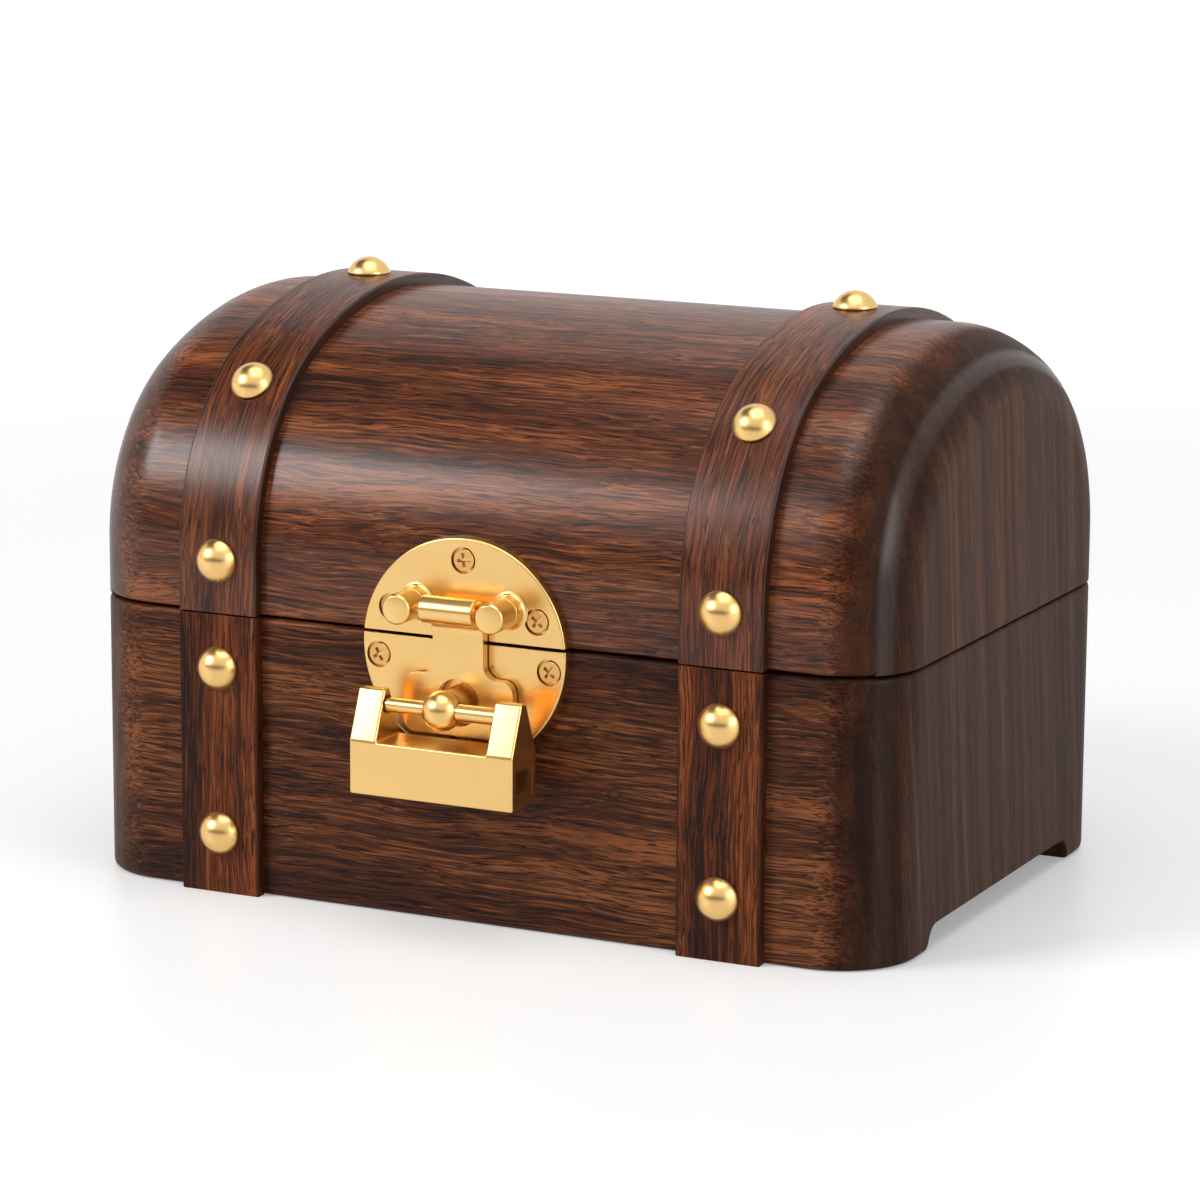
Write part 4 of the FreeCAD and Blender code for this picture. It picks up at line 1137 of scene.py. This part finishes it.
@dataclass
class Straps:
    """Wooden straps over the lid and down the front and back of the box."""

    bench: Bench
    path: ArchPath
    thickness: float = 2.6
    ease: float = 0.5
    lid_shift: Range = (0.9, 0.07)
    box_shift: float = 0.4

    def over_lid(self, node: str) -> Form:
        """Models a strap bent over the lid.

        Args:
            node: The CAD node that it stands for.

        Returns:
            The strap.
        """
        low, high = corners_of(node)
        path, outer = self.path, self.path.front - self.thickness
        form = plate_of([(low.x, path.front, path.foot), (low.x, outer, path.foot),
                         (high.x, outer, path.foot), (high.x, path.front, path.foot)])
        rounded(form, self.ease, 3, lambda co: co.y < outer + 0.1)
        closed_up(path.swept(form))
        return soften(form, self.ease * 0.6, 2, within(lambda co: abs(co.z - path.foot) < NEAR))

    def on_box(self, node: str) -> Form:
        """Models an upright strap of the lower box.

        Args:
            node: The CAD node that it stands for.

        Returns:
            The strap.
        """
        low, high = corners_of(node)
        outer = low.y if abs(low.y) > abs(high.y) else high.y
        form = soften(block(low, high), self.ease, 3,
                      lambda edge: lies_at(edge, 1, outer) and is_upright(edge))
        return soften(form, self.ease * 0.6, 2, lambda edge: is_sharp(edge)
                      and abs(edge.verts[0].co.z - edge.verts[1].co.z) < NEAR)

    def bent(self, co: Vector, middle: float, number: int) -> Sequence[float]:
        """Gives a lid strap's grain vector, which runs along the strap.

        Args:
            co: The point, in metres.
            middle: The strap's place along the width.
            number: The strap's number, which shifts its grain.

        Returns:
            The grain vector.
        """
        way, growth = self.path.measure(co)
        along, across = self.lid_shift
        return way + along * number, co.x - middle + across * number, growth

    def build(self) -> None:
        """Builds all six straps."""
        for number, node in enumerate(("lid_strap_left", "lid_strap_right")):
            middle = middle_of(node).x * MM
            self.bench.piece(self.over_lid(node), node + "_wood", DOMESTRAP, "lid", [node],
                             lambda co, at=middle, number=number: self.bent(co, at, number))
        for number, node in enumerate(("base_strap_front_left", "base_strap_front_right",
                                       "base_strap_back_left", "base_strap_back_right")):
            shift = self.box_shift * number
            self.bench.piece(self.on_box(node), node + "_wood", STRAPWOOD, "base", [node],
                             lambda co, shift=shift: (co.z + shift, co.x, co.y))


@dataclass
class Nails:
    """Domed brass nails through the straps."""

    bench: Bench
    path: ArchPath
    radius: float = 5.2
    rise: float = 3.9
    rim: float = 0.45
    shank: float = 1.6
    point: float = 0.15
    length: float = 8.0
    below_parting: float = 12.3
    above_floor: float = 14.0
    above_parting: float = 12.0
    shoulder: float = 47.0
    strap: float = 2.6

    def nail(self) -> Form:
        """Models one nail: a cap with a thin rolled rim on a square tapered shank.

        Returns:
            The nail, with its rim at height zero.
        """
        ball = (self.radius ** 2 + self.rise ** 2) / (2 * self.rise)
        form = bmesh.new()
        bmesh.ops.create_uvsphere(form, u_segments=40, v_segments=28, radius=ball)
        bmesh.ops.translate(form, vec=(0, 0, self.rise - ball), verts=form.verts)
        cut_off(form, (0, 0, self.rim), (0, 0, -1), fill=False)
        carried(form, bmesh.ops.extrude_edge_only(form, edges=open_rim(form)), (0, 0, -self.rim))
        bmesh.ops.edgeloop_fill(form, edges=open_rim(form))
        soften(closed_up(form), 0.16, 2, within(lambda co: co.z < self.rim + NEAR))
        pin = bmesh.new()
        bmesh.ops.create_cone(pin, cap_ends=True, segments=4, radius1=self.point,
                              radius2=self.shank * 0.707, depth=self.length)
        place = Matrix.Translation((0, 0, -self.length / 2)) @ Matrix.Rotation(math.pi / 4, 4, "Z")
        return with_copy(form, pin, place, last=True)

    def group(self, places: Sequence[Spot]) -> Form:
        """Puts a nail at every place.

        Args:
            places: Lean in degrees and the three coordinates of each.

        Returns:
            All the nails as one form.
        """
        nail, form = self.nail(), bmesh.new()
        for place in places:
            with_copy(form, nail, facing(*place))
        nail.free()
        return form

    def build(self) -> None:
        """Builds the nails of the box and of the lid."""
        straps = [middle_of(node).x for node in ("base_strap_front_left", "base_strap_front_right")]
        parting = corners_of("front_board")[1].z
        front, back = self.path.front - self.strap, self.path.back + self.strap
        low = [(lean, x, y, z) for x in straps for lean, y in ((0, front), (180, back))
               for z in (parting - self.below_parting, self.above_floor)]
        self.bench.piece(self.group(low), "box_nails", BRASS, "base", ["base_nails"])
        level = self.path.foot + self.above_parting
        high = [(lean, x, y, level) for x in straps for lean, y in ((0, front), (180, back))]
        for angle in (self.shoulder, 90, 180 - self.shoulder):
            y, z = self.path.point(math.radians(angle), self.strap)
            high.extend((angle, x, y, z) for x in straps)
        self.bench.piece(self.group(high), "dome_nails", BRASS, "lid", ["lid_nails"])


# ---------------------------------------------------------------- lock

@dataclass
class Screws:
    """Countersunk cross-headed screws."""

    head: float = 2.5
    shank: float = 1.2
    length: float = 8.5
    ease: float = 0.14
    slot_width: float = 0.72
    slot_length: float = 3.2
    slot_depth: float = 2.2
    taper: Range = (0.55, 0.70)
    spread: Range = (1.11, 1.08)
    first_turn: float = 0.1
    twist: float = 0.4

    def screw(self) -> Form:
        """Models one screw whose head's face is at height zero.

        Returns:
            The screw.
        """
        form = turned([(0, -self.length), (self.shank * 0.8, -self.length + 2),
                       (self.shank, -self.head + self.shank), (self.head, -0.3),
                       (self.head, -self.ease), (self.head - self.ease, 0), (0, 0)], 36)
        cross = worked(self.wing(0), self.wing(math.pi / 2), Cut.JOINED)
        return soften(worked(form, cross), 0.05, 2, within(
            lambda co: co.z > -NEAR and co.to_2d().length < self.head * 0.8))

    def wing(self, turn: float) -> Form:
        """Models one of the two wings of the cross, which taper towards the point.

        Args:
            turn: Its turn in the head, in radians.

        Returns:
            The space of the wing.
        """
        form = block((-self.slot_length / 2, -self.slot_width / 2, -self.slot_depth),
                     (self.slot_length / 2, self.slot_width / 2, self.slot_depth * 0.25))
        for vertex in form.verts:
            along, across = self.taper if vertex.co.z < 0 else self.spread
            vertex.co.x *= along
            vertex.co.y *= across
        return placed(form, Matrix.Rotation(turn, 4, "Z"))

    def group(self, places: Sequence[Spot]) -> Form:
        """Puts a screw at every place, each turned a little further than the last.

        Args:
            places: Lean in degrees and the three coordinates of each.

        Returns:
            All the screws as one form.
        """
        screw, form = self.screw(), bmesh.new()
        for number, place in enumerate(places):
            turn = Matrix.Rotation(self.first_turn + self.twist * number, 4, "Z")
            with_copy(form, screw, facing(*place) @ turn)
        screw.free()
        return form


@dataclass
class LockPlate:
    """The round plate in two halves, its screws and the post that carries the padlock."""

    bench: Bench
    radius: float = 25.0
    drop: float = 2.0
    ease: float = 0.5
    sink: float = 0.12
    seat: float = 2.95
    seat_depth: float = 1.1
    upper: tuple[Range, ...] = ((0, 20), (-18, 8), (18, 8))
    lower: tuple[Range, ...] = ((0, -20), (-21, -3), (21, -3))
    post: float = 4.0
    ball: float = 4.5
    ball_reach: float = 9.9
    ball_steps: int = 14
    upper_more: float = 1.3
    tenon: float = 2.4
    tenon_length: float = 8.0
    cross_hole: float = 2.0

    def __post_init__(self) -> None:
        """Finds the plate's face and middle."""
        low, high = corners_of("lower_lock_plate")
        self.face, self.back = low.y, high.y
        self.middle = corners_of("front_board")[1].z - self.drop
        self.screws = Screws()

    def half(self, level: float, keep: int, holes: Sequence[Range], deep: float) -> Form:
        """Models one half of the plate.

        Args:
            level: Height of its cut edge.
            keep: 1 for the upper half, -1 for the lower.
            holes: Screw places from the plate's middle.
            deep: Thickness of the metal.

        Returns:
            The half plate.
        """
        form = soften(disc(self.radius, deep, 160), self.ease, 3,
                      within(lambda co: co.z > deep - NEAR))
        placed(form, facing(0, 0, self.face + deep, self.middle))
        cut_off(form, (0, 0, level), (0, 0, -keep))
        soften(form, 0.18, 2, within(lambda co: abs(co.z - level) < NEAR
                                     and co.y < self.face + self.ease + NEAR))
        for across, up in holes:
            place = facing(0, across, self.face + self.seat_depth, self.middle + up)
            form = worked(form, placed(disc(self.seat, 3, 48), place))
        return soften(form, 0.12, 2, lambda edge: is_sharp(edge) and all(
            v.co.y < self.face + 0.005 for v in edge.verts) and self.at_seat(edge, holes))

    def at_seat(self, edge: Edge, holes: Sequence[Range]) -> bool:
        """Tells whether an edge lies on the rim of a screw's seat."""
        return any(all(abs(math.hypot(v.co.x - x, v.co.z - self.middle - z) - self.seat) < 0.02
                       for v in edge.verts) for x, z in holes)

    def post_form(self, height: float) -> Form:
        """Models the post: a shank, a stub and a ball with a hole through it for the bar.

        Args:
            height: Height of the post's axis.

        Returns:
            The post.
        """
        start, count = math.asin(self.post / self.ball), self.ball_steps
        angles = [math.pi - start - (math.pi - start) * step / count for step in range(count + 1)]
        head = [(self.ball * math.sin(angle) if step < count else 0,
                 self.ball_reach + self.ball * math.cos(angle))
                for step, angle in enumerate(angles)]
        form = turned([(0, -self.tenon_length), (self.tenon, -self.tenon_length), (self.tenon, 0),
                       (self.post, 0), *head], 48)
        form = placed(form, facing(0, 0, self.face, height))
        place = along_x(-6, self.face - self.ball_reach, height)
        form = worked(form, placed(disc(self.cross_hole, 12, 32), place))
        return soften(form, 0.15, 2, within(lambda co: co.y < self.face - 1))

    def build(self) -> None:
        """Builds the two halves, six screws and the post."""
        below, above = corners_of("lower_lock_plate")[1].z, corners_of("upper_lock_plate")[0].z
        sunk, deep = self.face + self.sink, self.back - self.face
        for name, level, keep, holes, more, body in (
                ("upper", above, 1, self.upper, self.upper_more, "lid"),
                ("lower", below, -1, self.lower, 0, "base")):
            self.bench.piece(self.half(level, keep, holes, deep + more), name + "_plate_brass",
                             BRASS, body, [name + "_lock_plate"])
            places = [(0, across, sunk, self.middle + up) for across, up in holes]
            self.bench.piece(self.screws.group(places), name + "_plate_screw_set", SCREW_BRASS,
                             body, [name + "_plate_screws"])
        low, high = corners_of("lock_post")
        self.bench.piece(self.post_form((low.z + high.z) / 2), "lock_post_brass", BRASS, "base",
                         ["lock_post"])


@dataclass
class Hasp:
    """The lugs, the pin between them and the cranked hasp that swings on it."""

    bench: Bench
    lug: float = 3.4
    flange: float = 4.5
    flange_depth: float = 1.6
    groove_place: float = 1.5
    groove_half: float = 0.14
    groove_depth: float = 0.22
    bevel: float = 0.45
    barrel: float = 3.1
    barrel_length: float = 13.0
    bore: float = 1.2
    bend: float = 0.9
    flare_steps: int = 10
    thickness: float = 2.2
    gap: float = 0.4
    neck: float = 6.2
    half_width: float = 13.5
    flare_rise: float = 9.2
    flare_fall: float = 2.9
    corner: float = 3.0
    hole: float = 5.35
    hole_lift: float = 0.25
    crank_top: float = 0.5
    crank_bottom: float = 3.6
    ease: float = 0.38

    def __post_init__(self) -> None:
        """Finds the plate's face, the pin and the post."""
        self.face = corners_of("lower_lock_plate")[0].y
        self.pin = middle_of("hasp_pin")
        self.post = middle_of("lock_post").z
        self.low = corners_of("hasp")[0].z

    def lug_form(self, node: str) -> Form:
        """Models a lug: a turned stud with a flared foot and a fine groove above it.

        Args:
            node: The CAD node that it stands for.

        Returns:
            The lug.
        """
        low, high = corners_of(node)
        reach, step, slope = high.y - low.y, self.flange_depth, self.flange - self.lug
        flare = [(self.flange - slope * math.sin(math.pi * part / 12),
                  step * (1 - math.cos(math.pi * part / 12))) for part in range(7)]
        groove, half, deep = step + self.groove_place, self.groove_half, self.groove_depth
        profile = [(0, 0), *flare, (self.lug, groove), (self.lug - deep, groove + half),
                   (self.lug, groove + half * 2), (self.lug, reach - self.bevel),
                   (self.lug - self.bevel, reach), (0, reach)]
        form = soften(turned(profile, 56), 0.08, 2)
        return placed(form, facing(0, (low.x + high.x) / 2, self.face, self.pin.z))

    def side_view(self) -> Form:
        """Models the hasp's strip from its side view, as wide as the whole hasp.

        Returns:
            The strip.
        """
        back, front = self.face - self.gap, self.face - self.gap - self.thickness
        strip_back = self.pin.y + self.barrel
        strip_front = strip_back - self.thickness
        upper, lower = self.pin.z - self.crank_top, self.pin.z - self.crank_bottom
        lean, wide = self.thickness / 2, self.half_width + 1
        form = plate_of([(-wide, *point) for point in (
            (front, self.low), (back, self.low), (back, lower), (strip_back, upper),
            (strip_back, self.pin.z), (strip_front, self.pin.z), (strip_front, upper - lean),
            (front, lower - lean))])
        rounded(form, self.bend, 5, lambda co: self.low + 1 < co.z < self.pin.z - 1)
        return extruded(form, (wide * 2, 0, 0))

    def front_view(self) -> Form:
        """Models the space inside the hasp's outline: neck, S-shaped flare, rounded corners.

        Returns:
            The space.
        """
        across, down = self.half_width - self.neck, self.flare_rise - self.flare_fall
        radius = (across ** 2 + down ** 2) / (across * 4)
        turn, steps = math.asin(down / 2 / radius), self.flare_steps
        angles = [turn * step / steps for step in range(steps + 1)]
        side = [(self.neck + radius * (1 - math.cos(angle)),
                 self.flare_rise - radius * math.sin(angle)) for angle in angles]
        side += [(self.neck + self.half_width - x, self.flare_rise + self.flare_fall - z)
                 for x, z in reversed(side[:-1])]
        outline = [(self.neck, self.pin.z - self.post + 2), *side,
                   (self.half_width, self.low - self.post)]
        points = [*outline, *((-x, z) for x, z in reversed(outline))]
        form = plate_of([(x, self.face + 1, self.post + z) for x, z in points])
        rounded(form, self.corner, 8, lambda co: co.z < self.low + NEAR)
        return extruded(form, (0, -10, 0))

    def hasp_form(self) -> Form:
        """Models the hasp with its eased edges, its hole and its rolled barrel.

        Returns:
            The hasp.
        """
        form = worked(self.side_view(), self.front_view(), Cut.SHARED)
        place = facing(0, 0, self.face + 1, self.post + self.hole_lift)
        form = worked(form, placed(disc(self.hole, 12, 64), place))
        soften(form, self.ease, 3, within(lambda co: co.z < self.pin.z - self.barrel))
        barrel = sleeve(self.bore, self.barrel, self.barrel_length, 48, 0.3, 3)
        place = along_x(-self.barrel_length / 2, self.pin.y, self.pin.z)
        return with_copy(form, barrel, place, last=True)

    def build(self) -> None:
        """Builds the lugs, the pin and the hasp."""
        for node in ("left_lug", "right_lug"):
            self.bench.piece(self.lug_form(node), node + "_brass", BRASS, "lid", [node])
        self.bench.piece(pin_of("hasp_pin", 24), "hasp_pin_brass", BRASS, "lid", ["hasp_pin"])
        self.bench.piece(self.hasp_form(), "hasp_brass", BRASS, "hasp", ["hasp"])


@dataclass
class Padlock:
    """The roof-shaped padlock, its sliding bar and the leaf spring on the bolt inside."""

    bench: Bench
    face: float = 12.0
    ridge: float = 2.4
    shoulder: float = 6.5
    ease: float = 0.52
    bar_drop: float = 3.5
    bar: float = 1.9
    neck: float = 1.62
    recess: float = 0.2
    bore: float = 2.0
    ring: float = 2.25
    ring_depth: float = 0.7
    seat: float = 3.6
    key_width: float = 5.5
    key_height: float = 4.8
    key_rise: float = 6.1
    key_forward: float = 0.9
    key_length: float = 18.0
    throat: float = 4.0
    bolt: float = 2.4
    bolt_tip: float = 9.0
    arm: float = 1.6
    arm_width: float = 3.4
    arm_play: float = 0.15
    arm_relief: float = 0.5
    guide_width: float = 0.9
    guide_length: float = 8.0
    guide_depth: float = 1.0
    guide_back: float = 1.7

    def __post_init__(self) -> None:
        """Finds the case's corners."""
        self.low, self.high = corners_of("padlock_case")
        self.middle = (self.low + self.high) / 2
        self.bar_height = self.high.z - self.bar_drop
        self.key = Vector((0, self.middle.y - self.key_forward, self.low.z + self.key_rise))
        self.arm_low = self.key.z - self.arm_width / 2
        self.arm_high = self.bar_height + self.neck - self.arm_relief
        self.arm_neck = self.low.z + self.face

    def case(self) -> Form:
        """Models the case: a roof-shaped block with a gap for the post and its openings.

        Returns:
            The case.
        """
        low, high, y, half = self.low, self.high, self.middle.y, self.ridge / 2
        form = extruded(plate_of([(low.x, *point) for point in (
            (low.y, low.z), (high.y, low.z), (high.y, self.arm_neck), (y + half, high.z),
            (y - half, high.z), (low.y, self.arm_neck))]), (high.x - low.x, 0, 0))
        gap = block((low.x + self.shoulder, low.y - 2, self.arm_neck),
                    (high.x - self.shoulder, high.y + 2, high.z + 2))
        form = soften(worked(form, gap), self.ease, 3, is_creased)
        for tool in self.openings():
            form = worked(form, tool)
        return form

    def openings(self) -> list[Form]:
        """Models the spaces of the bar, the keyway, the arm and the guide slot.

        Returns:
            The spaces, in the order in which they are cut.
        """
        low, high, key, y = self.low, self.high, self.key, self.middle.y
        inner = low.x + self.shoulder
        half, tall, throat = self.key_width / 2, self.key_height / 2, self.throat / 2
        play, neck = self.arm_play, self.neck + self.arm_play
        reach, left, right = self.arm_width / 2 + play, low.x + self.arm + play, high.x + 1
        slot, wide, long = high.y - self.guide_back, self.guide_width / 2, self.guide_length / 2
        keyway = high.x - self.key_length
        holes = ((self.bore, self.shoulder + 2, low.x - 1),
                 (self.ring, self.ring_depth + 1, inner - self.ring_depth),
                 (self.bore, self.seat + 1.1, high.x - self.shoulder - 1))
        return [
            *(placed(disc(radius, deep, 32), along_x(x, y, self.bar_height))
              for radius, deep, x in holes),
            block((keyway, key.y - half, key.z - tall), (right, key.y + half, key.z + tall)),
            block((low.x - 1, key.y - throat, key.z - throat),
                  (keyway + 1, key.y + throat, key.z + throat)),
            block((low.x - 1, key.y - reach, self.arm_low - play),
                  (left, y + reach, self.arm_neck + play)),
            block((low.x - 1, y - neck, self.arm_neck - play),
                  (left, y + neck, self.arm_high + play)),
            block((high.x - self.guide_depth, slot - wide, key.z - long),
                  (right, slot + wide, key.z + long)),
        ]

    def sliding_bar(self) -> Form:
        """Models the stepped bar, the arm in the left end and the square bolt.

        Returns:
            The bar.
        """
        low, high, key, y = self.low, self.high, self.key, self.middle.y
        length, step = high.x - self.shoulder + self.seat - low.x, 0.5 - low.x
        form = turned([(0, self.recess), (self.neck, self.recess), (self.neck, step),
                       (self.bar, step), (self.bar, length), (0, length)], 40)
        soften(form, 0.16, 2)
        placed(form, along_x(low.x, y, self.bar_height))
        reach, half, right = self.arm_width / 2, self.bolt / 2, low.x + self.arm
        for corner, other in (
                ((low.x, key.y - reach, self.arm_low), (right, y + reach, self.arm_neck)),
                ((low.x, y - self.neck, self.arm_neck - 1), (right, y + self.neck, self.arm_high)),
                ((low.x + 0.3, key.y - half, key.z - half),
                 (high.x - self.bolt_tip, key.y + half, key.z + half))):
            with_copy(form, soften(block(corner, other), 0.15, 2), last=True)
        return form

    def build(self) -> None:
        """Builds the case and the bar, and finishes the spring."""
        self.bench.piece(self.case(), "padlock_case_brass", BRASS, "padlock", ["padlock_case"])
        self.bench.piece(self.sliding_bar(), "padlock_bar_brass", BRASS, "shackle",
                         ["padlock_shackle"])
        self.bench.keep("padlock_spring", STEEL)


# ---------------------------------------------------------------- hinges

@dataclass
class ButtHinges:
    """Two butt hinges let into the back edges, with their pins and screws."""

    bench: Bench
    thickness: float = 1.2
    leaf: float = 7.5
    knuckle: float = 3.0
    bore: float = 1.3
    knuckles: int = 3
    knuckle_gap: float = 0.3
    screw_offset: float = 7.5
    screw_head: float = 1.9
    screw_sink: float = 0.06

    def leaf_form(self, pin: str, on_lid: bool) -> Form:
        """Models a leaf with its share of the knuckles.

        Args:
            pin: The node of its pin.
            on_lid: Whether it is the lid's leaf.

        Returns:
            The leaf.
        """
        low, high = corners_of(pin)
        axis, wood = (low + high) / 2, corners_of("back_board")[1]
        level = corners_of("lid_end_left")[0].z if on_lid else wood.z - self.thickness
        top = level + self.thickness
        form = soften(block((low.x, wood.y - self.leaf, level), (high.x, wood.y - 0.05, top)),
                      0.2, 2)
        pitch = (high.x - low.x + self.knuckle_gap) / self.knuckles
        length = pitch - self.knuckle_gap
        for number in range(int(on_lid), self.knuckles, 2):
            start = low.x + pitch * number
            tab = soften(block((start, wood.y - 1, level), (start + length, axis.y, top)), 0.12, 1)
            ring = sleeve(self.bore, self.knuckle, length, 40, 0.25, 2)
            with_copy(form, tab, last=True)
            with_copy(form, ring, along_x(start, axis.y, axis.z), last=True)
        return form

    def build(self) -> None:
        """Builds leaves, pins and screws."""
        names, wood = ("left", "right"), corners_of("back_board")[1]
        for name in names:
            pin = name + "_hinge_pin"
            self.bench.piece(pin_of(pin, 28), pin + "_brass", BRASS, "base", [pin])
            for body in ("base", "lid"):
                node = name + "_hinge_" + body + "_leaf"
                self.bench.piece(self.leaf_form(pin, body == "lid"), node + "_brass", BRASS, body,
                                 [node])
        screws = Screws(head=self.screw_head, shank=0.9, length=9.0, slot_width=0.6,
                        slot_length=2.3, slot_depth=1.0)
        middles = [middle_of(name + "_hinge_pin").x for name in names]
        for body, lean, level in (("base", 90, wood.z - self.screw_sink),
                                  ("lid", -90, corners_of("lid_end_left")[0].z + self.screw_sink)):
            places = [(lean, x + self.screw_offset * end, wood.y - self.leaf / 2, level)
                      for x in middles for end in (-1, 1)]
            self.bench.piece(screws.group(places), "hinge_" + body + "_screw_set", SCREW_BRASS,
                             body, ["hinge_" + body + "_screws"])


# ---------------------------------------------------------------- studio

@dataclass
class Studio:
    """The pale floor, the soft lamps, the sky and the camera."""

    camera_place: tuple[float, float, float] = (0.44795, -0.924965, 0.274131)
    camera_turns: tuple[float, float, float] = (-25.757, 11.673, 0.351)
    lens: float = 135.70
    sensor: float = 36.0
    sight: float = 100.0
    lit_place: tuple[float, float, float] = (0, 0, 0.07)
    floor_glow: float = 0.24
    far_glow: float = 0.84
    floor_reach: float = 30.0
    floor_fade: Range = (0.35, 1.6)

    def camera(self) -> None:
        """Sets the camera up as the photograph was taken."""
        around, nod, roll = (math.radians(angle) for angle in self.camera_turns)
        right, forward, up = (Matrix.Rotation(roll, 3, "Y") @ Matrix.Rotation(nod, 3, "X")
                              @ Matrix.Rotation(around, 3, "Z"))
        data = bpy.data.cameras.new("camera")
        data.lens, data.sensor_width, data.clip_end = self.lens, self.sensor, self.sight
        place = Matrix((right, up, -forward)).transposed().to_4x4()
        place.translation = self.camera_place
        camera = new_object("camera", data)
        camera.matrix_world = place
        bpy.context.scene.camera = camera

    def lamp(self, name: str, place: Sequence[float], width: float, height: float,
             power: float) -> None:
        """Hangs a soft lamp that looks at the chest.

        Args:
            name: Its name.
            place: Where it hangs, in metres.
            width: Its width.
            height: Its height.
            power: Its power in watts.
        """
        data = bpy.data.lights.new(name, "AREA")
        data.shape, data.size, data.size_y, data.energy = "RECTANGLE", width, height, power
        aim = (Vector(self.lit_place) - Vector(place)).to_track_quat("-Z", "Y").to_matrix()
        new_object(name, data).matrix_world = Matrix.Translation(place) @ aim.to_4x4()

    @staticmethod
    def seen_directly(shop: Shop) -> Any:
        """Tells camera, glossy and transmission rays from the rest.

        Args:
            shop: The tree of the floor or the sky.

        Returns:
            An output that is one for those rays.
        """
        path = shop.add("LightPath")
        rays = shop.maths("MAXIMUM", path.outputs["Is Camera Ray"], path.outputs["Is Glossy Ray"])
        return shop.maths("MAXIMUM", rays, path.outputs["Is Transmission Ray"])

    def sky(self) -> None:
        """Makes the white surroundings, plainer for the light that they give."""
        world = bpy.data.worlds.new("studio")
        world.use_nodes = True
        world.node_tree.nodes.clear()
        shop = Shop(world.node_tree)
        light, white = (shop.add("Background", in_Color=colour, in_Strength=1.0).outputs[0]
                        for colour in ((0.34, 0.34, 0.345), (1, 1, 1)))
        mix = shop.add("MixShader", in_0=self.seen_directly(shop), in_1=light, in_2=white)
        shop.add("OutputWorld", in_Surface=mix.outputs[0])
        bpy.context.scene.world = world

    def floor(self) -> None:
        """Lays the pale floor, which keeps the chest's shadow and runs out into white."""
        form = bmesh.new()
        bmesh.ops.create_grid(form, x_segments=1, y_segments=1, size=self.floor_reach)
        mesh = mesh_of(form, "studio_floor")
        material, shop, shader, out = new_material("studio_floor")
        shop.fill(shader, Base_Color=(0.80, 0.80, 0.80), Roughness=0.42, Specular_IOR_Level=0.35)
        place = shop.add("TexCoord").outputs["Object"]
        length = shop.add("VectorMath", operation="LENGTH", in_0=place).outputs["Value"]
        away = shop.spread(length, *self.floor_fade, self.floor_glow, self.far_glow)
        glow = shop.add("Emission", in_Color=(1, 1, 1),
                        in_Strength=shop.times(away, self.seen_directly(shop)))
        both = shop.add("AddShader", in_0=shader.outputs[0], in_1=glow.outputs[0])
        shop.fill(out, Surface=both.outputs[0])
        mesh.materials.append(material)
        item = new_object("studio_floor", mesh)

    @staticmethod
    def card(name: str, middle: Sequence[float], span: Sequence[float]) -> None:
        """Stands a dark card by the chest that only its light and reflections see.

        Args:
            name: Its name.
            middle: Its middle, in metres.
            span: Its three sizes.
        """
        half = Vector(span) / 2
        mesh = mesh_of(block(Vector(middle) - half, Vector(middle) + half), name)
        material, shop, shader, _ = new_material(name)
        shop.fill(shader, Base_Color=(0.03, 0.028, 0.026), Roughness=0.9)
        mesh.materials.append(material)
        item = new_object(name, mesh)
        item.visible_camera = False

    def build(self) -> None:
        """Builds the whole studio."""
        self.floor()
        self.sky()
        self.camera()
        self.lamp("key", (-1.15, -1.18, 1.06), 0.78, 0.58, 20.0)
        self.lamp("top", (0.12, -0.15, 1.25), 0.90, 1.0, 6.0)
        self.lamp("side", (1.12, -0.30, 0.48), 0.5, 0.6, 4.0)
        self.card("front_flag", (-0.1, -1.60, 0.30), (3.4, 0.02, 0.50))
        self.card("top_flag", (-0.86, 0.0, 1.15), (0.92, 1.3, 0.02))
        bpy.context.scene.view_settings.view_transform = "Standard"
        LOG.info("studio ready")


def main() -> None:
    """Builds the chest and its studio, in order."""
    bench = Bench()
    path = ArchPath()
    for maker in (LowerBox(bench), DomedLid(bench, path), Straps(bench, path), Nails(bench, path),
                  LockPlate(bench), Hasp(bench), Padlock(bench), ButtHinges(bench), Studio()):
        maker.build()
        LOG.info("%s is built", type(maker).__name__)


if __name__ == "__main__":
    logging.basicConfig(level=logging.INFO, format="%(name)s: %(message)s")
    main()
